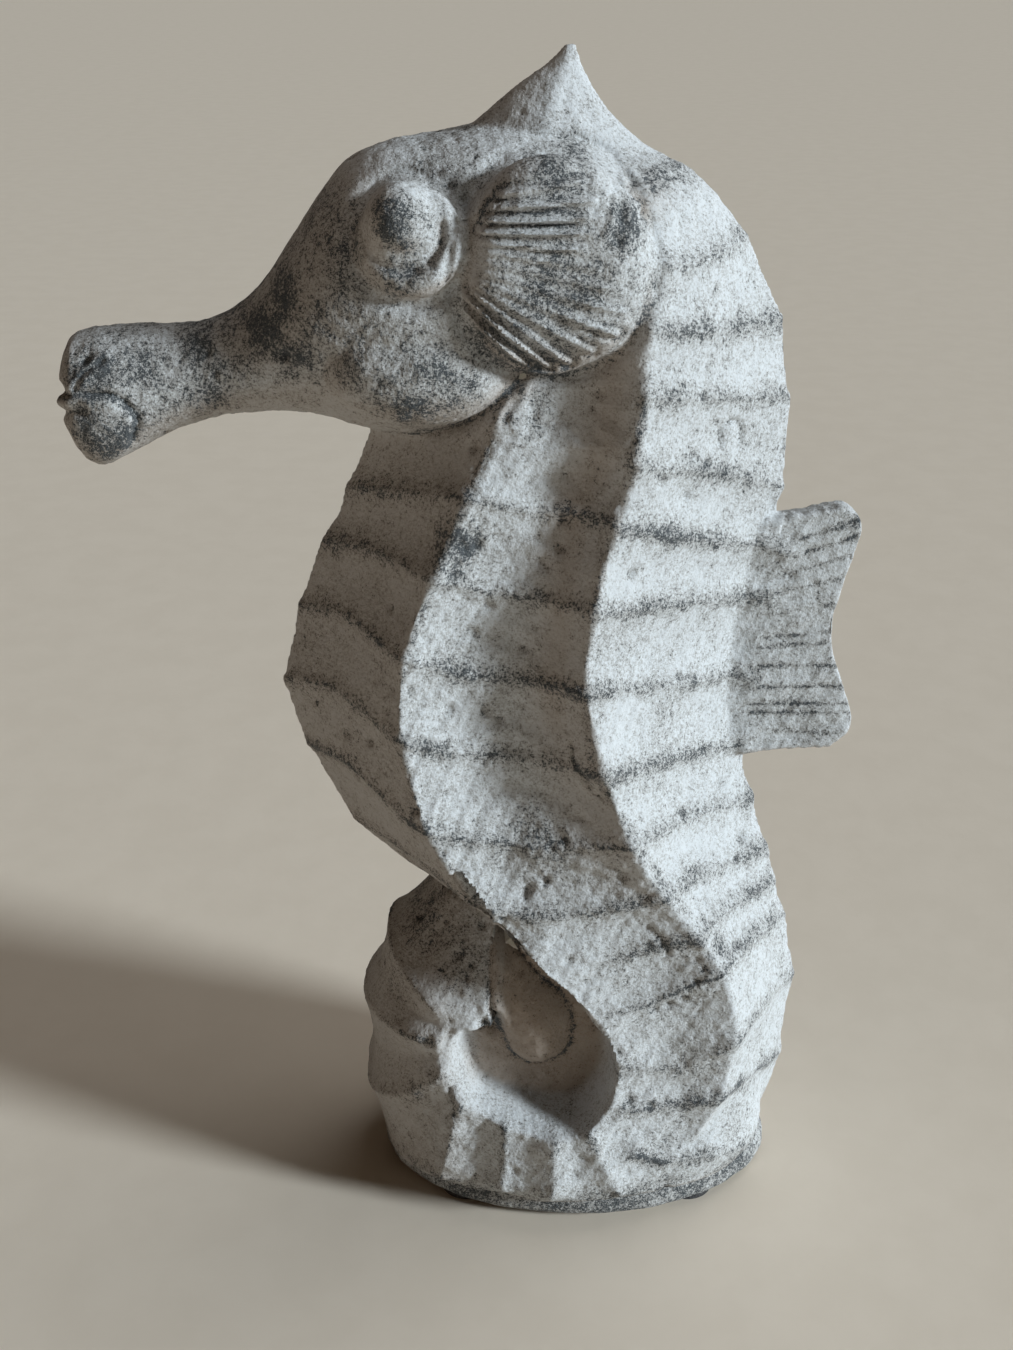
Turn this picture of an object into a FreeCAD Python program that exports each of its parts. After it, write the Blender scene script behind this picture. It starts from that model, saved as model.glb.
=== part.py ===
import FreeCAD, Part
import math
import os

# Seahorse garden figure: a hollow figure cast in stone-look mortar.
# It is laid up as two half shells that meet on the middle plane and is closed by a plate underneath.
# +Z is up, the snout points to -X, the back fin to +X, and the middle plane is Y = 0.
# The origin is the centre of the figure's box, at the height of the surface it stands on.

V = FreeCAD.Vector
os.makedirs("parts", exist_ok=True)

# ---- driving dimensions, in mm ----
figure_height = 330.0       # surface to the tip of the crest
figure_length = 215.0       # tip of the snout to the edge of the back fin
figure_depth = 80.0         # width of the foot from side to side
shell_wall = 7.0            # cast wall of each half shell
lining_thickness = 1.2      # glass-fibre mat behind the wall
seam_thickness = 1.0        # mortar between the two half shells
base_plate_thickness = 9.0
base_mortar_thickness = 1.0
base_rim_overhang = 1.5     # how far the plate stands out beyond the shells
base_edge_radius = 2.5
pad_diameter = 16.0
pad_thickness = 3.0
pad_proud = 1.5             # how far a pad stands out of its recess
pad_inset = 13.0            # pad centre to the edge of the plate
fin_thickness = 9.0
fin_bed = 1.0               # mortar on each side of the fin's tenon
fin_tenon_reach = 28.0      # how far the tenon stands into the hollow
pin_diameter = 4.0
pin_setback = 5.0           # pin centre to the tenon's end
pin_length = 14.0
pin_spacing = 36.0
pin_clearance = 0.1
rod_diameter = 4.0
rod_clearance = 0.1         # bedding round the wire in the snout
rod_end_cover = 9.0         # casting left in front of the wire
bung_diameter = 24.0
bung_flange_diameter = 31.0
bung_flange_thickness = 2.0
bung_clearance = 0.1        # radial, round the shank
flange_clearance = 0.5
bung_top_gap = 0.5          # below the sand
sand_depth = 58.0

# ---- drawn outline, at the size it was drawn; scaled to the driving dimensions ----
DRAWN_HEIGHT = 330.0
DRAWN_LENGTH = 215.0
DRAWN_DEPTH = 80.0

# Body stations from the foot up. Each: height, belly, front ridge, rear ridge, back,
# half width at the front ridge, at the rear ridge, how far the belly and back panels bulge (+) or
# hollow (-), and the same for the flank between the two ridges.
BODY_STATIONS = [
    (0.0, -61, -36, 30, 57, 31, 32, 6.5, 6.5),
    (22.0, -64, -38, 36, 62, 32, 33, 6.0, 6.0),
    (48.0, -66, -40, 40, 63, 32, 34, 4.0, 4.0),
    (72.0, -62, -36, 38, 62, 32, 35, 2.0, 2.0),
    (91.0, -48, -20, 37, 57, 32, 36, 0.0, -1.0),
    (107.0, -58, -31, 25, 54, 33, 37, -1.5, -3.5),
    (130.0, -74, -46, 12, 47, 34, 38, -2.5, -6.5),
    (160.0, -85, -52, 0, 45, 34, 38, -3.0, -9.0),
    (190.0, -78, -49, -2, 47, 33, 37, -3.0, -8.5),
    (215.0, -67, -40, 1, 50, 31, 35, -2.0, -5.5),
    (236.0, -59, -31, 7, 51, 29, 33, -1.0, -3.0),
    (262.0, -48, -22, 11, 47, 27, 31, 0.0, -1.0),
    (285.0, -38, -15, 11, 37, 24, 27, 0.0, 0.0),
    (303.0, -24, -9, 7, 17, 14, 15, 0.0, 0.0),
]

# Head stations from the snout back. Each: place along X, underside, top, half width.
HEAD_STATIONS = [
    (-140.0, 230, 256, 12),
    (-134.0, 225, 260, 16),
    (-123.0, 228, 261, 15),
    (-110.0, 235, 261.5, 13),
    (-96.0, 238, 264, 13),
    (-84.0, 239, 276, 17),
    (-73.0, 238, 293, 22),
    (-60.0, 235, 305, 27),
    (-45.0, 234, 309, 30),
    (-28.0, 238, 312, 30),
    (-10.0, 246, 311, 28),
    (8.0, 256, 303, 23),
]
HEAD_CORNERS = 12

# Crest stations from its root up. Each: height, front, back, half width.
CREST_STATIONS = [
    (290.0, -44, 28, 18),
    (301.0, -42, 20, 15),
    (311.0, -33, 5, 9.5),
    (321.0, -22, -2, 5.0),
    (330.0, -9.5, -6.5, 1.2),
]
CREST_CORNERS = 8

# Outline of the fin outside the body, from its upper root round to its lower root.
FIN_OUTLINE = [(52, 211), (64, 213), (70, 214), (74, 208), (70, 184), (69, 170), (75, 151), (71, 142), (48, 140)]

EYE_PLACE = (-48.0, 20.0, 289.0)      # centre of the left eyeball, measured out from the middle plane
EYE_RADIUS = 12.0
EYE_INNER_REACH = 9.0                 # how deep the eye's round root goes into the head
FAN_CENTRE = (-10.0, 285.0)           # gill fan
FAN_RADIUS = 26.0
FAN_RIM_RADIUS = 22.0
FAN_FACE_DEPTH = 34.0                 # middle plane to the face of the fan
FAN_THICKNESS = 14.0

# The coiled tail: the flank is pressed in inside the tail's loop, round the rounded tip of the tail.
COIL_OUTLINE = [
    (-29, 67), (-38, 65), (-41, 55), (-38, 45), (-29, 37), (-14, 34), (-2, 36), (6, 44), (8, 54),
    (6, 64), (0, 73), (-9, 83), (-18, 94), (-25, 102), (-28, 88)]
COIL_FLOOR_DEPTH = 28.0               # middle plane to the pressed-in floor
COIL_TOP = 108.0                      # below this height the wall is thicker on the coil's end
COIL_END = 14.0                       # and in front of this place along X
COIL_CENTRE = (-15.0, 60.0)           # rounded tip of the tail
COIL_RADIUS = 9.0
COIL_ROOT_RADIUS = 12.0
COIL_FACE_DEPTH = 34.0
COIL_THICKNESS = 12.0

size_x = figure_length / DRAWN_LENGTH
size_y = figure_depth / DRAWN_DEPTH
size_z = figure_height / DRAWN_HEIGHT

plate_bottom = pad_proud
plate_top = plate_bottom + base_plate_thickness
shell_bottom = plate_top + base_mortar_thickness
far_out = 2.0 * max(figure_height, figure_length, figure_depth)


# ---- helpers ----
def place(x, y, z):
    """A drawn point at the figure's own size."""
    return V(x * size_x, y * size_y, z * size_z)


def between(station_list, column, at):
    """The value of one column of a station list at a place between two stations."""
    for low, high in zip(station_list, station_list[1:]):
        if low[0] <= at <= high[0]:
            share = (at - low[0]) / (high[0] - low[0])
            return low[column] + share * (high[column] - low[column])
    return station_list[-1][column] if at > station_list[-1][0] else station_list[0][column]


def inset_loop(loop, amount):
    """A closed loop of plane (u, v) points, anticlockwise, moved inwards by an amount."""
    moved = []
    for i in range(len(loop)):
        before, here, after = loop[i - 1], loop[i], loop[(i + 1) % len(loop)]
        in_len = math.hypot(here[0] - before[0], here[1] - before[1])
        out_len = math.hypot(after[0] - here[0], after[1] - here[1])
        n1 = (-(here[1] - before[1]) / in_len, (here[0] - before[0]) / in_len)
        n2 = (-(after[1] - here[1]) / out_len, (after[0] - here[0]) / out_len)
        stretch = amount / (1.0 + n1[0] * n2[0] + n1[1] * n2[1])
        moved.append((here[0] + stretch * (n1[0] + n2[0]), here[1] + stretch * (n1[1] + n2[1])))
    return moved


def panel_middle(a, b, bulge):
    """The middle of a panel, pushed out from the middle of the section by its bulge."""
    du, dv = b[0] - a[0], b[1] - a[1]
    length = math.hypot(du, dv)
    return ((a[0] + b[0]) / 2 + bulge * dv / length, (a[1] + b[1]) / 2 - bulge * du / length)


def body_loop(station):
    """The twelve-sided section of the body at a station, anticlockwise seen from above."""
    height, belly, front, rear, back, front_width, rear_width, bulge, flank_bulge = station
    near = [
        (belly * size_x, 0.0),
        (front * size_x, -front_width * size_y),
        (rear * size_x, -rear_width * size_y),
        (back * size_x, 0.0),
    ]
    side = []
    for a, b, panel_bulge in zip(near, near[1:], (bulge, flank_bulge, bulge)):
        side += [a, panel_middle(a, b, panel_bulge * size_y)]
    mirrored = [(u, -v) for u, v in side[:0:-1]]
    return side + [near[-1]] + mirrored


def head_loop(station):
    """The section of the head at a station, in (y, z), anticlockwise seen from the back."""
    x, under, top, half_width = station
    middle, half_height = (under + top) / 2, (top - under) / 2
    loop = []
    for i in range(HEAD_CORNERS):
        turn = 2 * math.pi * (i + 0.5) / HEAD_CORNERS
        loop.append((half_width * size_y * math.cos(turn), (middle + half_height * math.sin(turn)) * size_z))
    return loop


def wire_through(points):
    return Part.makePolygon(points + points[:1])


def loft(wires):
    return Part.makeLoft(wires, True, True)


def body_solid(inset):
    """The body, moved inwards by an inset: 0 for its skin, the wall for its hollow."""
    wires = []
    for station in BODY_STATIONS:
        loop = body_loop(station)
        if inset > 0.0:
            loop = inset_loop(loop, inset)
        wires.append(wire_through([V(u, v, station[0] * size_z) for u, v in loop]))
    return loft(wires)


def head_solid(inset, first=0):
    """The head and snout, from one of its stations back."""
    wires = []
    for station in HEAD_STATIONS[first:]:
        loop = head_loop(station)
        if inset > 0.0:
            loop = inset_loop(loop, inset)
        wires.append(wire_through([V(station[0] * size_x, u, v) for u, v in loop]))
    return loft(wires)


def crest_solid():
    wires = []
    for height, front, back, half_width in CREST_STATIONS:
        corners = []
        for i in range(CREST_CORNERS):
            turn = 2 * math.pi * i / CREST_CORNERS
            x = (front + back) / 2 + (back - front) / 2 * math.cos(turn)
            corners.append(place(x, half_width * math.sin(turn), height))
        wires.append(wire_through(corners))
    return loft(wires)


def block(x0, x1, y0, y1, z0, z1):
    return Part.makeBox(x1 - x0, y1 - y0, z1 - z0, V(x0, y0, z0))


def rod(radius, start, end):
    return Part.makeCylinder(radius, (end - start).Length, start, end - start)


def both_sides(maker):
    """One detail on the near side and its twin on the far side."""
    return [maker(-1), maker(1)]


def eye(side):
    """Round-ended plug: the eyeball stands out of the cheek."""
    x, y, z = EYE_PLACE
    outer = place(x, side * y, z)
    inner = outer - V(0, side * EYE_INNER_REACH, 0)
    return Part.makeSphere(EYE_RADIUS * size_x, outer).fuse(rod(EYE_RADIUS * size_x, inner, outer))


def disc(side, centre, root_radius, face_radius, face_depth, thickness):
    """A low round boss with sloping sides that stands out of the flank."""
    face = place(centre[0], side * face_depth, centre[1])
    root = place(centre[0], side * (face_depth - thickness), centre[1])
    return Part.makeCone(root_radius * size_x, face_radius * size_x, (face - root).Length, root, face - root)


def gill_fan(side):
    return disc(side, FAN_CENTRE, FAN_RADIUS, FAN_RIM_RADIUS, FAN_FACE_DEPTH, FAN_THICKNESS)


def tail_tip(side):
    return disc(side, COIL_CENTRE, COIL_ROOT_RADIUS, COIL_RADIUS, COIL_FACE_DEPTH, COIL_THICKNESS)


def coil_press(side):
    """What is pressed out of the flank inside the tail's loop."""
    floor = Part.Face(wire_through([place(x, side * COIL_FLOOR_DEPTH, z) for x, z in COIL_OUTLINE]))
    return floor.extrude(V(0, side * far_out, 0))


# ---- the cast body ----
skin = body_solid(0.0).fuse([head_solid(0.0), crest_solid()])
skin = skin.cut(both_sides(coil_press))
skin = skin.fuse(both_sides(eye) + both_sides(gill_fan) + both_sides(tail_tip))
skin = skin.common(block(-far_out, far_out, -far_out, far_out, shell_bottom, far_out))

HOLLOW_HEAD_FIRST = 7                  # the snout in front of this station is solid
HOLLOW_TOP = 283.0                     # the hollow ends under the crest


def coil_backing(side, inset):
    """The wall behind the pressed-in floor of the coil, taken off the hollow."""
    inner = COIL_FLOOR_DEPTH * size_y - inset
    low, high = sorted((side * inner, side * far_out))
    return block(-far_out, COIL_END * size_x, low, high, 0.0, COIL_TOP * size_z)


def hollow(inset):
    """The space inside the figure at a distance from its skin."""
    trunk = body_solid(inset).common(
        block(-far_out, far_out, -far_out, far_out, shell_bottom, HOLLOW_TOP * size_z - inset))
    trunk = trunk.cut([coil_backing(-1, inset), coil_backing(1, inset)])
    front = HEAD_STATIONS[HOLLOW_HEAD_FIRST][0] * size_x + inset
    head = head_solid(inset, HOLLOW_HEAD_FIRST).common(
        block(front, far_out, -far_out, far_out, 0.0, HOLLOW_TOP * size_z - inset))
    return trunk.fuse(head)


wall_hollow = hollow(shell_wall)
lining_hollow = hollow(shell_wall + lining_thickness)
casting = skin.cut(wall_hollow)
lining = wall_hollow.cut(lining_hollow)

# ---- dorsal fin, with a tenon through the back wall ----
fin_low = FIN_OUTLINE[-1][1]
fin_high = FIN_OUTLINE[0][1]
fin_heights = [fin_low, fin_high] + [s[0] for s in BODY_STATIONS if fin_low < s[0] < fin_high]
back_at_fin = min(between(BODY_STATIONS, 4, z) for z in fin_heights) * size_x
tenon_end = back_at_fin - shell_wall - lining_thickness - fin_tenon_reach
TENON_SHOULDER = 6.0                   # the tenon is this much shorter than the fin at each end
tenon_low = (fin_low + TENON_SHOULDER) * size_z
tenon_high = (fin_high - TENON_SHOULDER) * size_z
fin_half = fin_thickness / 2

fin_points = [place(x, 0, z) for x, z in FIN_OUTLINE]
fin_points += [V(tenon_end, 0, fin_low * size_z), V(tenon_end, 0, fin_high * size_z)]
fin_plate = Part.Face(wire_through([p - V(0, fin_half, 0) for p in fin_points])).extrude(V(0, fin_thickness, 0))
tenon = block(tenon_end, far_out, -fin_half, fin_half, tenon_low, tenon_high)
slot_half = fin_half + fin_bed
fin_slot = block(tenon_end - far_out, far_out, -slot_half, slot_half, tenon_low - fin_bed, tenon_high + fin_bed)
back_zone = block(tenon_end, far_out, -far_out, far_out, 0.0, far_out)
dorsal_fin = fin_plate.cut(skin).fuse(fin_plate.common(tenon)).removeSplitter()
fin_slot = fin_slot.common(back_zone)
fin_mortar = fin_slot.common(casting).cut(dorsal_fin)
casting = casting.cut(fin_slot)
lining = lining.cut(fin_slot)

# ---- cross pins through the tenon, inside the hollow ----
pin_x = tenon_end + pin_setback
pin_middle_z = (tenon_low + tenon_high) / 2
pins = []
for step in (-0.5, 0.5):
    z = pin_middle_z + step * pin_spacing * size_z
    ends = V(pin_x, -pin_length / 2, z), V(pin_x, pin_length / 2, z)
    pins.append(rod(pin_diameter / 2, *ends))
    dorsal_fin = dorsal_fin.cut(rod(pin_diameter / 2 + pin_clearance, *ends))
fin_pins = Part.makeCompound(pins)

# ---- wire in the snout: straight along the seam, then down into the hollow of the head ----
snout_front = HEAD_STATIONS[0][0] * size_x + rod_end_cover
snout_front_z = (HEAD_STATIONS[1][1] + HEAD_STATIONS[1][2]) / 2 * size_z
ROD_BEND = (-74.0, 256.0)
ROD_END = (-44.0, 262.0)
rod_points = [V(snout_front, 0, snout_front_z), place(ROD_BEND[0], 0, ROD_BEND[1]), place(ROD_END[0], 0, ROD_END[1])]


def bent_rod(radius, points):
    """A round wire of straight runs, with a ball at each bend."""
    runs = [rod(radius, a, b) for a, b in zip(points, points[1:])]
    bends = [Part.makeSphere(radius, p) for p in points[1:-1]]
    return runs[0].fuse(runs[1:] + bends).removeSplitter()


snout_rod = bent_rod(rod_diameter / 2, rod_points)
rod_bore = bent_rod(rod_diameter / 2 + rod_clearance, rod_points)
casting = casting.cut(rod_bore)
lining = lining.cut(rod_bore)

# ---- the two halves and the mortar between them ----
seam = seam_thickness / 2
near_side = block(-far_out, far_out, -far_out, -seam, 0.0, far_out)
far_side = block(-far_out, far_out, seam, far_out, 0.0, far_out)
seam_slab = block(-far_out, far_out, -seam, seam, 0.0, far_out)
shell_left = casting.common(near_side)
shell_right = casting.common(far_side)
seam_mortar = casting.common(seam_slab)
fibre_lining_left = lining.common(near_side)
fibre_lining_right = lining.common(far_side)

# ---- base plate, its mortar, the filling hole and the bung ----
foot = BODY_STATIONS[0]
foot_middle = (foot[1] + foot[4]) / 2 * size_x
foot_half_length = (foot[4] - foot[1]) / 2 * size_x + base_rim_overhang
foot_half_width = figure_depth / 2


def oval(half_length, half_width, bottom, top):
    """An upright elliptic plate under the foot."""
    ellipse = Part.Ellipse(V(foot_middle, 0, bottom), half_length, half_width)
    return Part.Face(Part.Wire(ellipse.toShape())).extrude(V(0, 0, top - bottom))


def upright(radius, x, y, bottom, top):
    return Part.makeCylinder(radius, top - bottom, V(x, y, bottom))


base_plate = oval(foot_half_length, foot_half_width, plate_bottom, plate_top)
base_plate = base_plate.makeFillet(base_edge_radius, base_plate.Edges)
bung_x = foot_middle
flange_top = plate_bottom + bung_flange_thickness
shank_bore_radius = bung_diameter / 2 + bung_clearance
base_plate = base_plate.cut(upright(shank_bore_radius, bung_x, 0, plate_bottom, plate_top))
flange_recess_radius = bung_flange_diameter / 2 + flange_clearance
base_plate = base_plate.cut(upright(flange_recess_radius, bung_x, 0, plate_bottom, flange_top + bung_clearance))
filler_bung = upright(bung_flange_diameter / 2, bung_x, 0, plate_bottom, flange_top)
filler_bung = filler_bung.fuse(upright(bung_diameter / 2, bung_x, 0, flange_top, plate_top - bung_top_gap))
filler_bung = filler_bung.removeSplitter()

# The bed lies under the shells' walls only, so the hollow stays open to the filling hole.
foot_slice = block(-far_out, far_out, -far_out, far_out, plate_top, shell_bottom)
base_mortar = body_solid(0.0).common(foot_slice).cut(body_solid(shell_wall))

# ---- felt pads let into the plate ----
PAD_TURN = math.radians(45.0)
PAD_SPREAD = 2.17                      # the pads stand this much further apart on each side
pad_x = (foot_half_length - pad_inset) * math.cos(PAD_TURN)
pad_y = (foot_half_width - pad_inset) * math.sin(PAD_TURN) + PAD_SPREAD
pad_list = []
for step_x in (-1, 1):
    for step_y in (-1, 1):
        pad_centre = (foot_middle + step_x * pad_x, step_y * pad_y)
        pad_list.append(upright(pad_diameter / 2, *pad_centre, 0.0, pad_thickness))
        base_plate = base_plate.cut(upright(pad_diameter / 2, *pad_centre, 0.0, pad_thickness))
floor_pads = Part.makeCompound(pad_list)

# ---- sand in the foot ----
sand_top = plate_top + sand_depth * size_z
ballast_sand = lining_hollow.common(block(-far_out, far_out, -far_out, far_out, shell_bottom, sand_top))

# ---- everything, shifted so that the origin is under the middle of the box ----
nodes = {
    "shell_left": shell_left,
    "shell_right": shell_right,
    "seam_mortar": seam_mortar,
    "base_mortar": base_mortar,
    "fin_mortar": fin_mortar,
    "fibre_lining_left": fibre_lining_left,
    "fibre_lining_right": fibre_lining_right,
    "dorsal_fin": dorsal_fin,
    "fin_pins": fin_pins,
    "snout_rod": snout_rod,
    "base_plate": base_plate,
    "floor_pads": floor_pads,
    "ballast_sand": ballast_sand,
    "filler_bung": filler_bung,
}

whole = Part.makeCompound(list(nodes.values())).BoundBox
shift = V(-(whole.XMin + whole.XMax) / 2, -(whole.YMin + whole.YMax) / 2, -whole.ZMin)
for name, shape in nodes.items():
    moved = shape.copy()
    moved.translate(shift)
    moved.exportStep("parts/" + name + ".step")
    print(name, "solids", len(moved.Solids), "valid", moved.isValid(), "volume", round(moved.Volume, 1))
print("box", round(whole.XLength, 2), round(whole.YLength, 2), round(whole.ZLength, 2), "shift", shift)
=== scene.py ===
# %% [markdown]
# # A seahorse garden figure in cast stone
#
# The figure is a hollow casting of fine mortar, about a third of a metre tall. Figures of this kind
# come out of a two-part mould, get a dark wash, and are then brushed over with limewash, so the dark
# wash shows on the rings, in the cracks and in specks all over. This lesson loads the designed frame,
# models the figure as a sculptor would, from simple clay forms that are pressed together and then
# carved, cuts it where the mould halves meet, and gives it the stone finish.

# %% Load the frame
import math

import bmesh
import bpy
import numpy as np
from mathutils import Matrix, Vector, kdtree


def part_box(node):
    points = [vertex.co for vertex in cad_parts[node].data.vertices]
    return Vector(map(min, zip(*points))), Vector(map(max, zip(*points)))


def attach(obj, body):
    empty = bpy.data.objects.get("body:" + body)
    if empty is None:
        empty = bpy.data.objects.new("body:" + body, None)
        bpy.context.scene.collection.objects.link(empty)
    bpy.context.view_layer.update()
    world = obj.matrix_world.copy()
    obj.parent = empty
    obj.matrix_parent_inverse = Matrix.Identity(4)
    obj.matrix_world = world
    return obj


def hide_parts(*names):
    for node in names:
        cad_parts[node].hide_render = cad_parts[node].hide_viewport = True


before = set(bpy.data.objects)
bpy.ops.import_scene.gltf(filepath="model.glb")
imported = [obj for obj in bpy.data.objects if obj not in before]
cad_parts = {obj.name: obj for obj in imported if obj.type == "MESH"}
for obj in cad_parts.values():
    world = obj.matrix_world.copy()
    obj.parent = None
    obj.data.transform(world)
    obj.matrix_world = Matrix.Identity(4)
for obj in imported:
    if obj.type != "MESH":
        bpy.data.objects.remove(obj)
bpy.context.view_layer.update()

print("nodes in the frame:", sorted(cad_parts))

# %% [markdown]
# ## The drawing's own millimetres
#
# A figure is easiest to draw from the side. So every size below is in millimetres of a side drawing:
# x runs from the snout (minus) to the back fin (plus), y is the distance from the middle plane, and z
# is the height above the floor. The foot plate of the frame says where that drawing sits.

# %% Place the drawing on the frame
MM = 0.001
FOOT_MIDDLE_IN_DRAWING = -2.0

plate_low, plate_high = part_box("base_plate")
drawing_shift = (plate_low.x + plate_high.x) / 2 - FOOT_MIDDLE_IN_DRAWING * MM
plate_top = plate_high.z / MM
print("drawing shifted by", round(drawing_shift / MM, 2), "mm")
print("the figure starts at", round(plate_top, 2), "mm")


def to_metres(points):
    """Drawing millimetres to the frame's metres, for an array of points."""
    return np.asarray(points, float) * MM + np.array([drawing_shift, 0.0, 0.0])


def to_drawing(points):
    """The frame's metres to drawing millimetres."""
    return (np.asarray(points, float) - np.array([drawing_shift, 0.0, 0.0])) / MM


# %% Small helpers for working by hand
def deselect_all():
    if bpy.context.object and bpy.context.object.mode != "OBJECT":
        bpy.ops.object.mode_set(mode="OBJECT")
    bpy.ops.object.select_all(action="DESELECT")


def pick(piece):
    """Makes one object the only selected and active one."""
    deselect_all()
    piece.select_set(True)
    bpy.context.view_layer.objects.active = piece


def read_points(piece):
    flat = np.empty(len(piece.data.vertices) * 3)
    piece.data.vertices.foreach_get("co", flat)
    return flat.reshape(-1, 3)


def write_points(piece, points):
    piece.data.vertices.foreach_set("co", np.asarray(points, float).ravel())
    piece.data.update()


def ramp(value, low, high):
    """0 below low, 1 above high, and a smooth rise between."""
    share = np.clip((value - low) / (high - low), 0.0, 1.0)
    return share * share * (3.0 - 2.0 * share)


def curve_through(stations, at):
    """Smooth curves through the columns of a station list; the first column says where."""
    table = np.array(stations, float)
    where, values = table[:, 0], table[:, 1:]
    slopes = np.gradient(values, where, axis=0)
    i = np.clip(np.searchsorted(where, at) - 1, 0, len(where) - 2)
    span = (where[i + 1] - where[i])[:, None]
    t = np.clip((at - where[i])[:, None] / span, 0.0, 1.0)
    start = (2 * t**3 - 3 * t**2 + 1) * values[i] + (t**3 - 2 * t**2 + t) * span * slopes[i]
    end = (3 * t**2 - 2 * t**3) * values[i + 1] + (t**3 - t**2) * span * slopes[i + 1]
    return (start + end).T


# %% [markdown]
# ## Clay forms
#
# Each big form is a flat sheet rolled into a tube: a grid is added, its width goes round the form and
# its length goes along it, the edges are welded, and the two ends are capped. Only the formula for the
# section differs. A sculptor rolls clay the same way. Extruding a ring again and again would give
# the same tube, but a formula keeps the two long ridges of the trunk exactly where they are drawn.

# %% Roll a sheet into a closed form
def rolled_form(name, around, along, place):
    """place(u, v) gives drawing points; u goes round from 0 to 1, and v along from 0 to 1."""
    deselect_all()
    bpy.ops.mesh.primitive_grid_add(x_subdivisions=around, y_subdivisions=along, size=1.0)
    form = bpy.context.object
    form.name = name
    sheet = read_points(form)
    write_points(form, to_metres(place(sheet[:, 0] + 0.5, sheet[:, 1] + 0.5)))
    bpy.ops.object.mode_set(mode="EDIT")
    bpy.ops.mesh.select_all(action="SELECT")
    bpy.ops.mesh.remove_doubles(threshold=0.00001)
    bpy.ops.mesh.fill_holes(sides=0)
    bpy.ops.mesh.select_all(action="SELECT")
    bpy.ops.mesh.normals_make_consistent(inside=False)
    bpy.ops.object.mode_set(mode="OBJECT")
    return form


# %% [markdown]
# ### The trunk
#
# A seahorse's trunk has six long ridges: one down the belly, one down the back, and two on each
# flank. Between them lie flat or hollowed panels. Seen from above, each section is a hexagon, so
# the stations below give its corners at each height, and how far each panel is hollowed.

# %% Trunk stations
# height, belly ridge, front flank ridge, rear flank ridge, back ridge, half width at the front
# ridge, half width at the rear ridge, and the depth of the belly, flank and back panels' hollows
TRUNK = [
    (9.6, -8, 8, 20, 54, 32, 33, -3, -1, -3),
    (20, -4, 8, 28, 59, 33, 34, -3, 0, -2),
    (36, -2, 9, 37, 62, 34, 34.5, -3, 0, -1),
    (52, -2, 9, 41, 63.5, 36, 35, -2, 1, 0),
    (66, -8, 6, 42, 63.5, 37, 35.5, -1, 1.5, 0),
    (80, -21, -5, 40, 61, 37.5, 36, 0, 2, 0),
    (94, -40, -19, 33, 57, 37, 36.5, 0, 2.5, 0),
    (108, -60, -32, 23, 53, 36, 37, 0, 4, 0),
    (122, -71, -41.5, 14, 48.5, 35, 38, 0, 6.5, 0),
    (140, -80.5, -48, 6, 44.5, 34.5, 38.5, 0, 9, 0),
    (160, -86, -52, 0, 43.5, 34, 38.5, 1, 10, 0),
    (178, -82.5, -51, -3, 45, 33.5, 38, 1, 9.5, 0),
    (196, -77, -46, -1, 47.5, 33, 37.5, 1, 8.5, 0),
    (215, -68, -38, 3, 50, 31, 36, 0, 6, 0),
    (232, -61, -30, 8, 51.5, 28, 34, 0, 3.5, 0),
    (248, -52, -25, 10, 50.5, 26, 33, 0, 2, -1),
    (266, -44, -20, 11, 47, 25, 31, 0, 1, -1),
    (284, -36, -14, 11, 38, 22, 28, 0, 0, -1),
    (297, -28, -10, 9, 27.5, 17, 20, 0, 0, -2),
    (305, -20, -8, 5, 15, 9, 10, 0, 0, -1),
]


def trunk_place(u, v):
    height = TRUNK[0][0] + v * (TRUNK[-1][0] - TRUNK[0][0])
    belly, front, rear, back, front_y, rear_y, dip1, dip2, dip3 = curve_through(TRUNK, height)
    side = np.where(u <= 0.5, -1.0, 1.0)
    walk = 3.0 * (1.0 - np.abs(2.0 * u - 1.0))
    panel = np.minimum(walk.astype(int), 2)
    share = walk - panel
    corner_x = np.stack([belly, front, rear, back])
    corner_y = np.stack([belly * 0, front_y, rear_y, belly * 0])
    dips = np.stack([dip1, dip2, dip3])
    column = np.arange(len(u))
    ax, ay = corner_x[panel, column], corner_y[panel, column]
    bx, by = corner_x[panel + 1, column], corner_y[panel + 1, column]
    length = np.hypot(bx - ax, by - ay)
    dip = dips[panel, column] * np.sin(math.pi * share)
    x = ax + share * (bx - ax) + dip * (by - ay) / length
    y = ay + share * (by - ay) - dip * (bx - ax) / length
    return np.stack([x, side * y, height], axis=1)


trunk = rolled_form("trunk_clay", 120, 190, trunk_place)
print("trunk:", len(trunk.data.vertices), "points")

# %% [markdown]
# ### The foot with the coiled tail
#
# The tail comes down the right side, runs along the bottom and rises on the left. All of that is one
# thick rounded mass with an oval base. Its sections are ovals too, a little squarer than an ellipse.

# %% Foot stations
# height, left end, right end, half width
FOOT = [
    (9.6, -61.5, 53, 39.2),
    (14, -62.5, 55, 39.6),
    (24, -64, 56, 39),
    (38, -65, 55, 38),
    (52, -65, 52, 37.5),
    (64, -63.5, 48, 37),
    (76, -59, 43, 35.5),
    (86, -53, 36, 32.5),
    (94, -47, 24, 27.5),
    (100, -41, 6, 20),
    (104, -34, -12, 10),
]
FOOT_SQUARENESS = 2.5


def superellipse(turn, power):
    """The two coordinates of a squared-off circle at an angle."""
    cosine, sine = np.cos(turn), np.sin(turn)
    radius = (np.abs(cosine) ** power + np.abs(sine) ** power) ** (-1.0 / power)
    return radius * cosine, radius * sine


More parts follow.
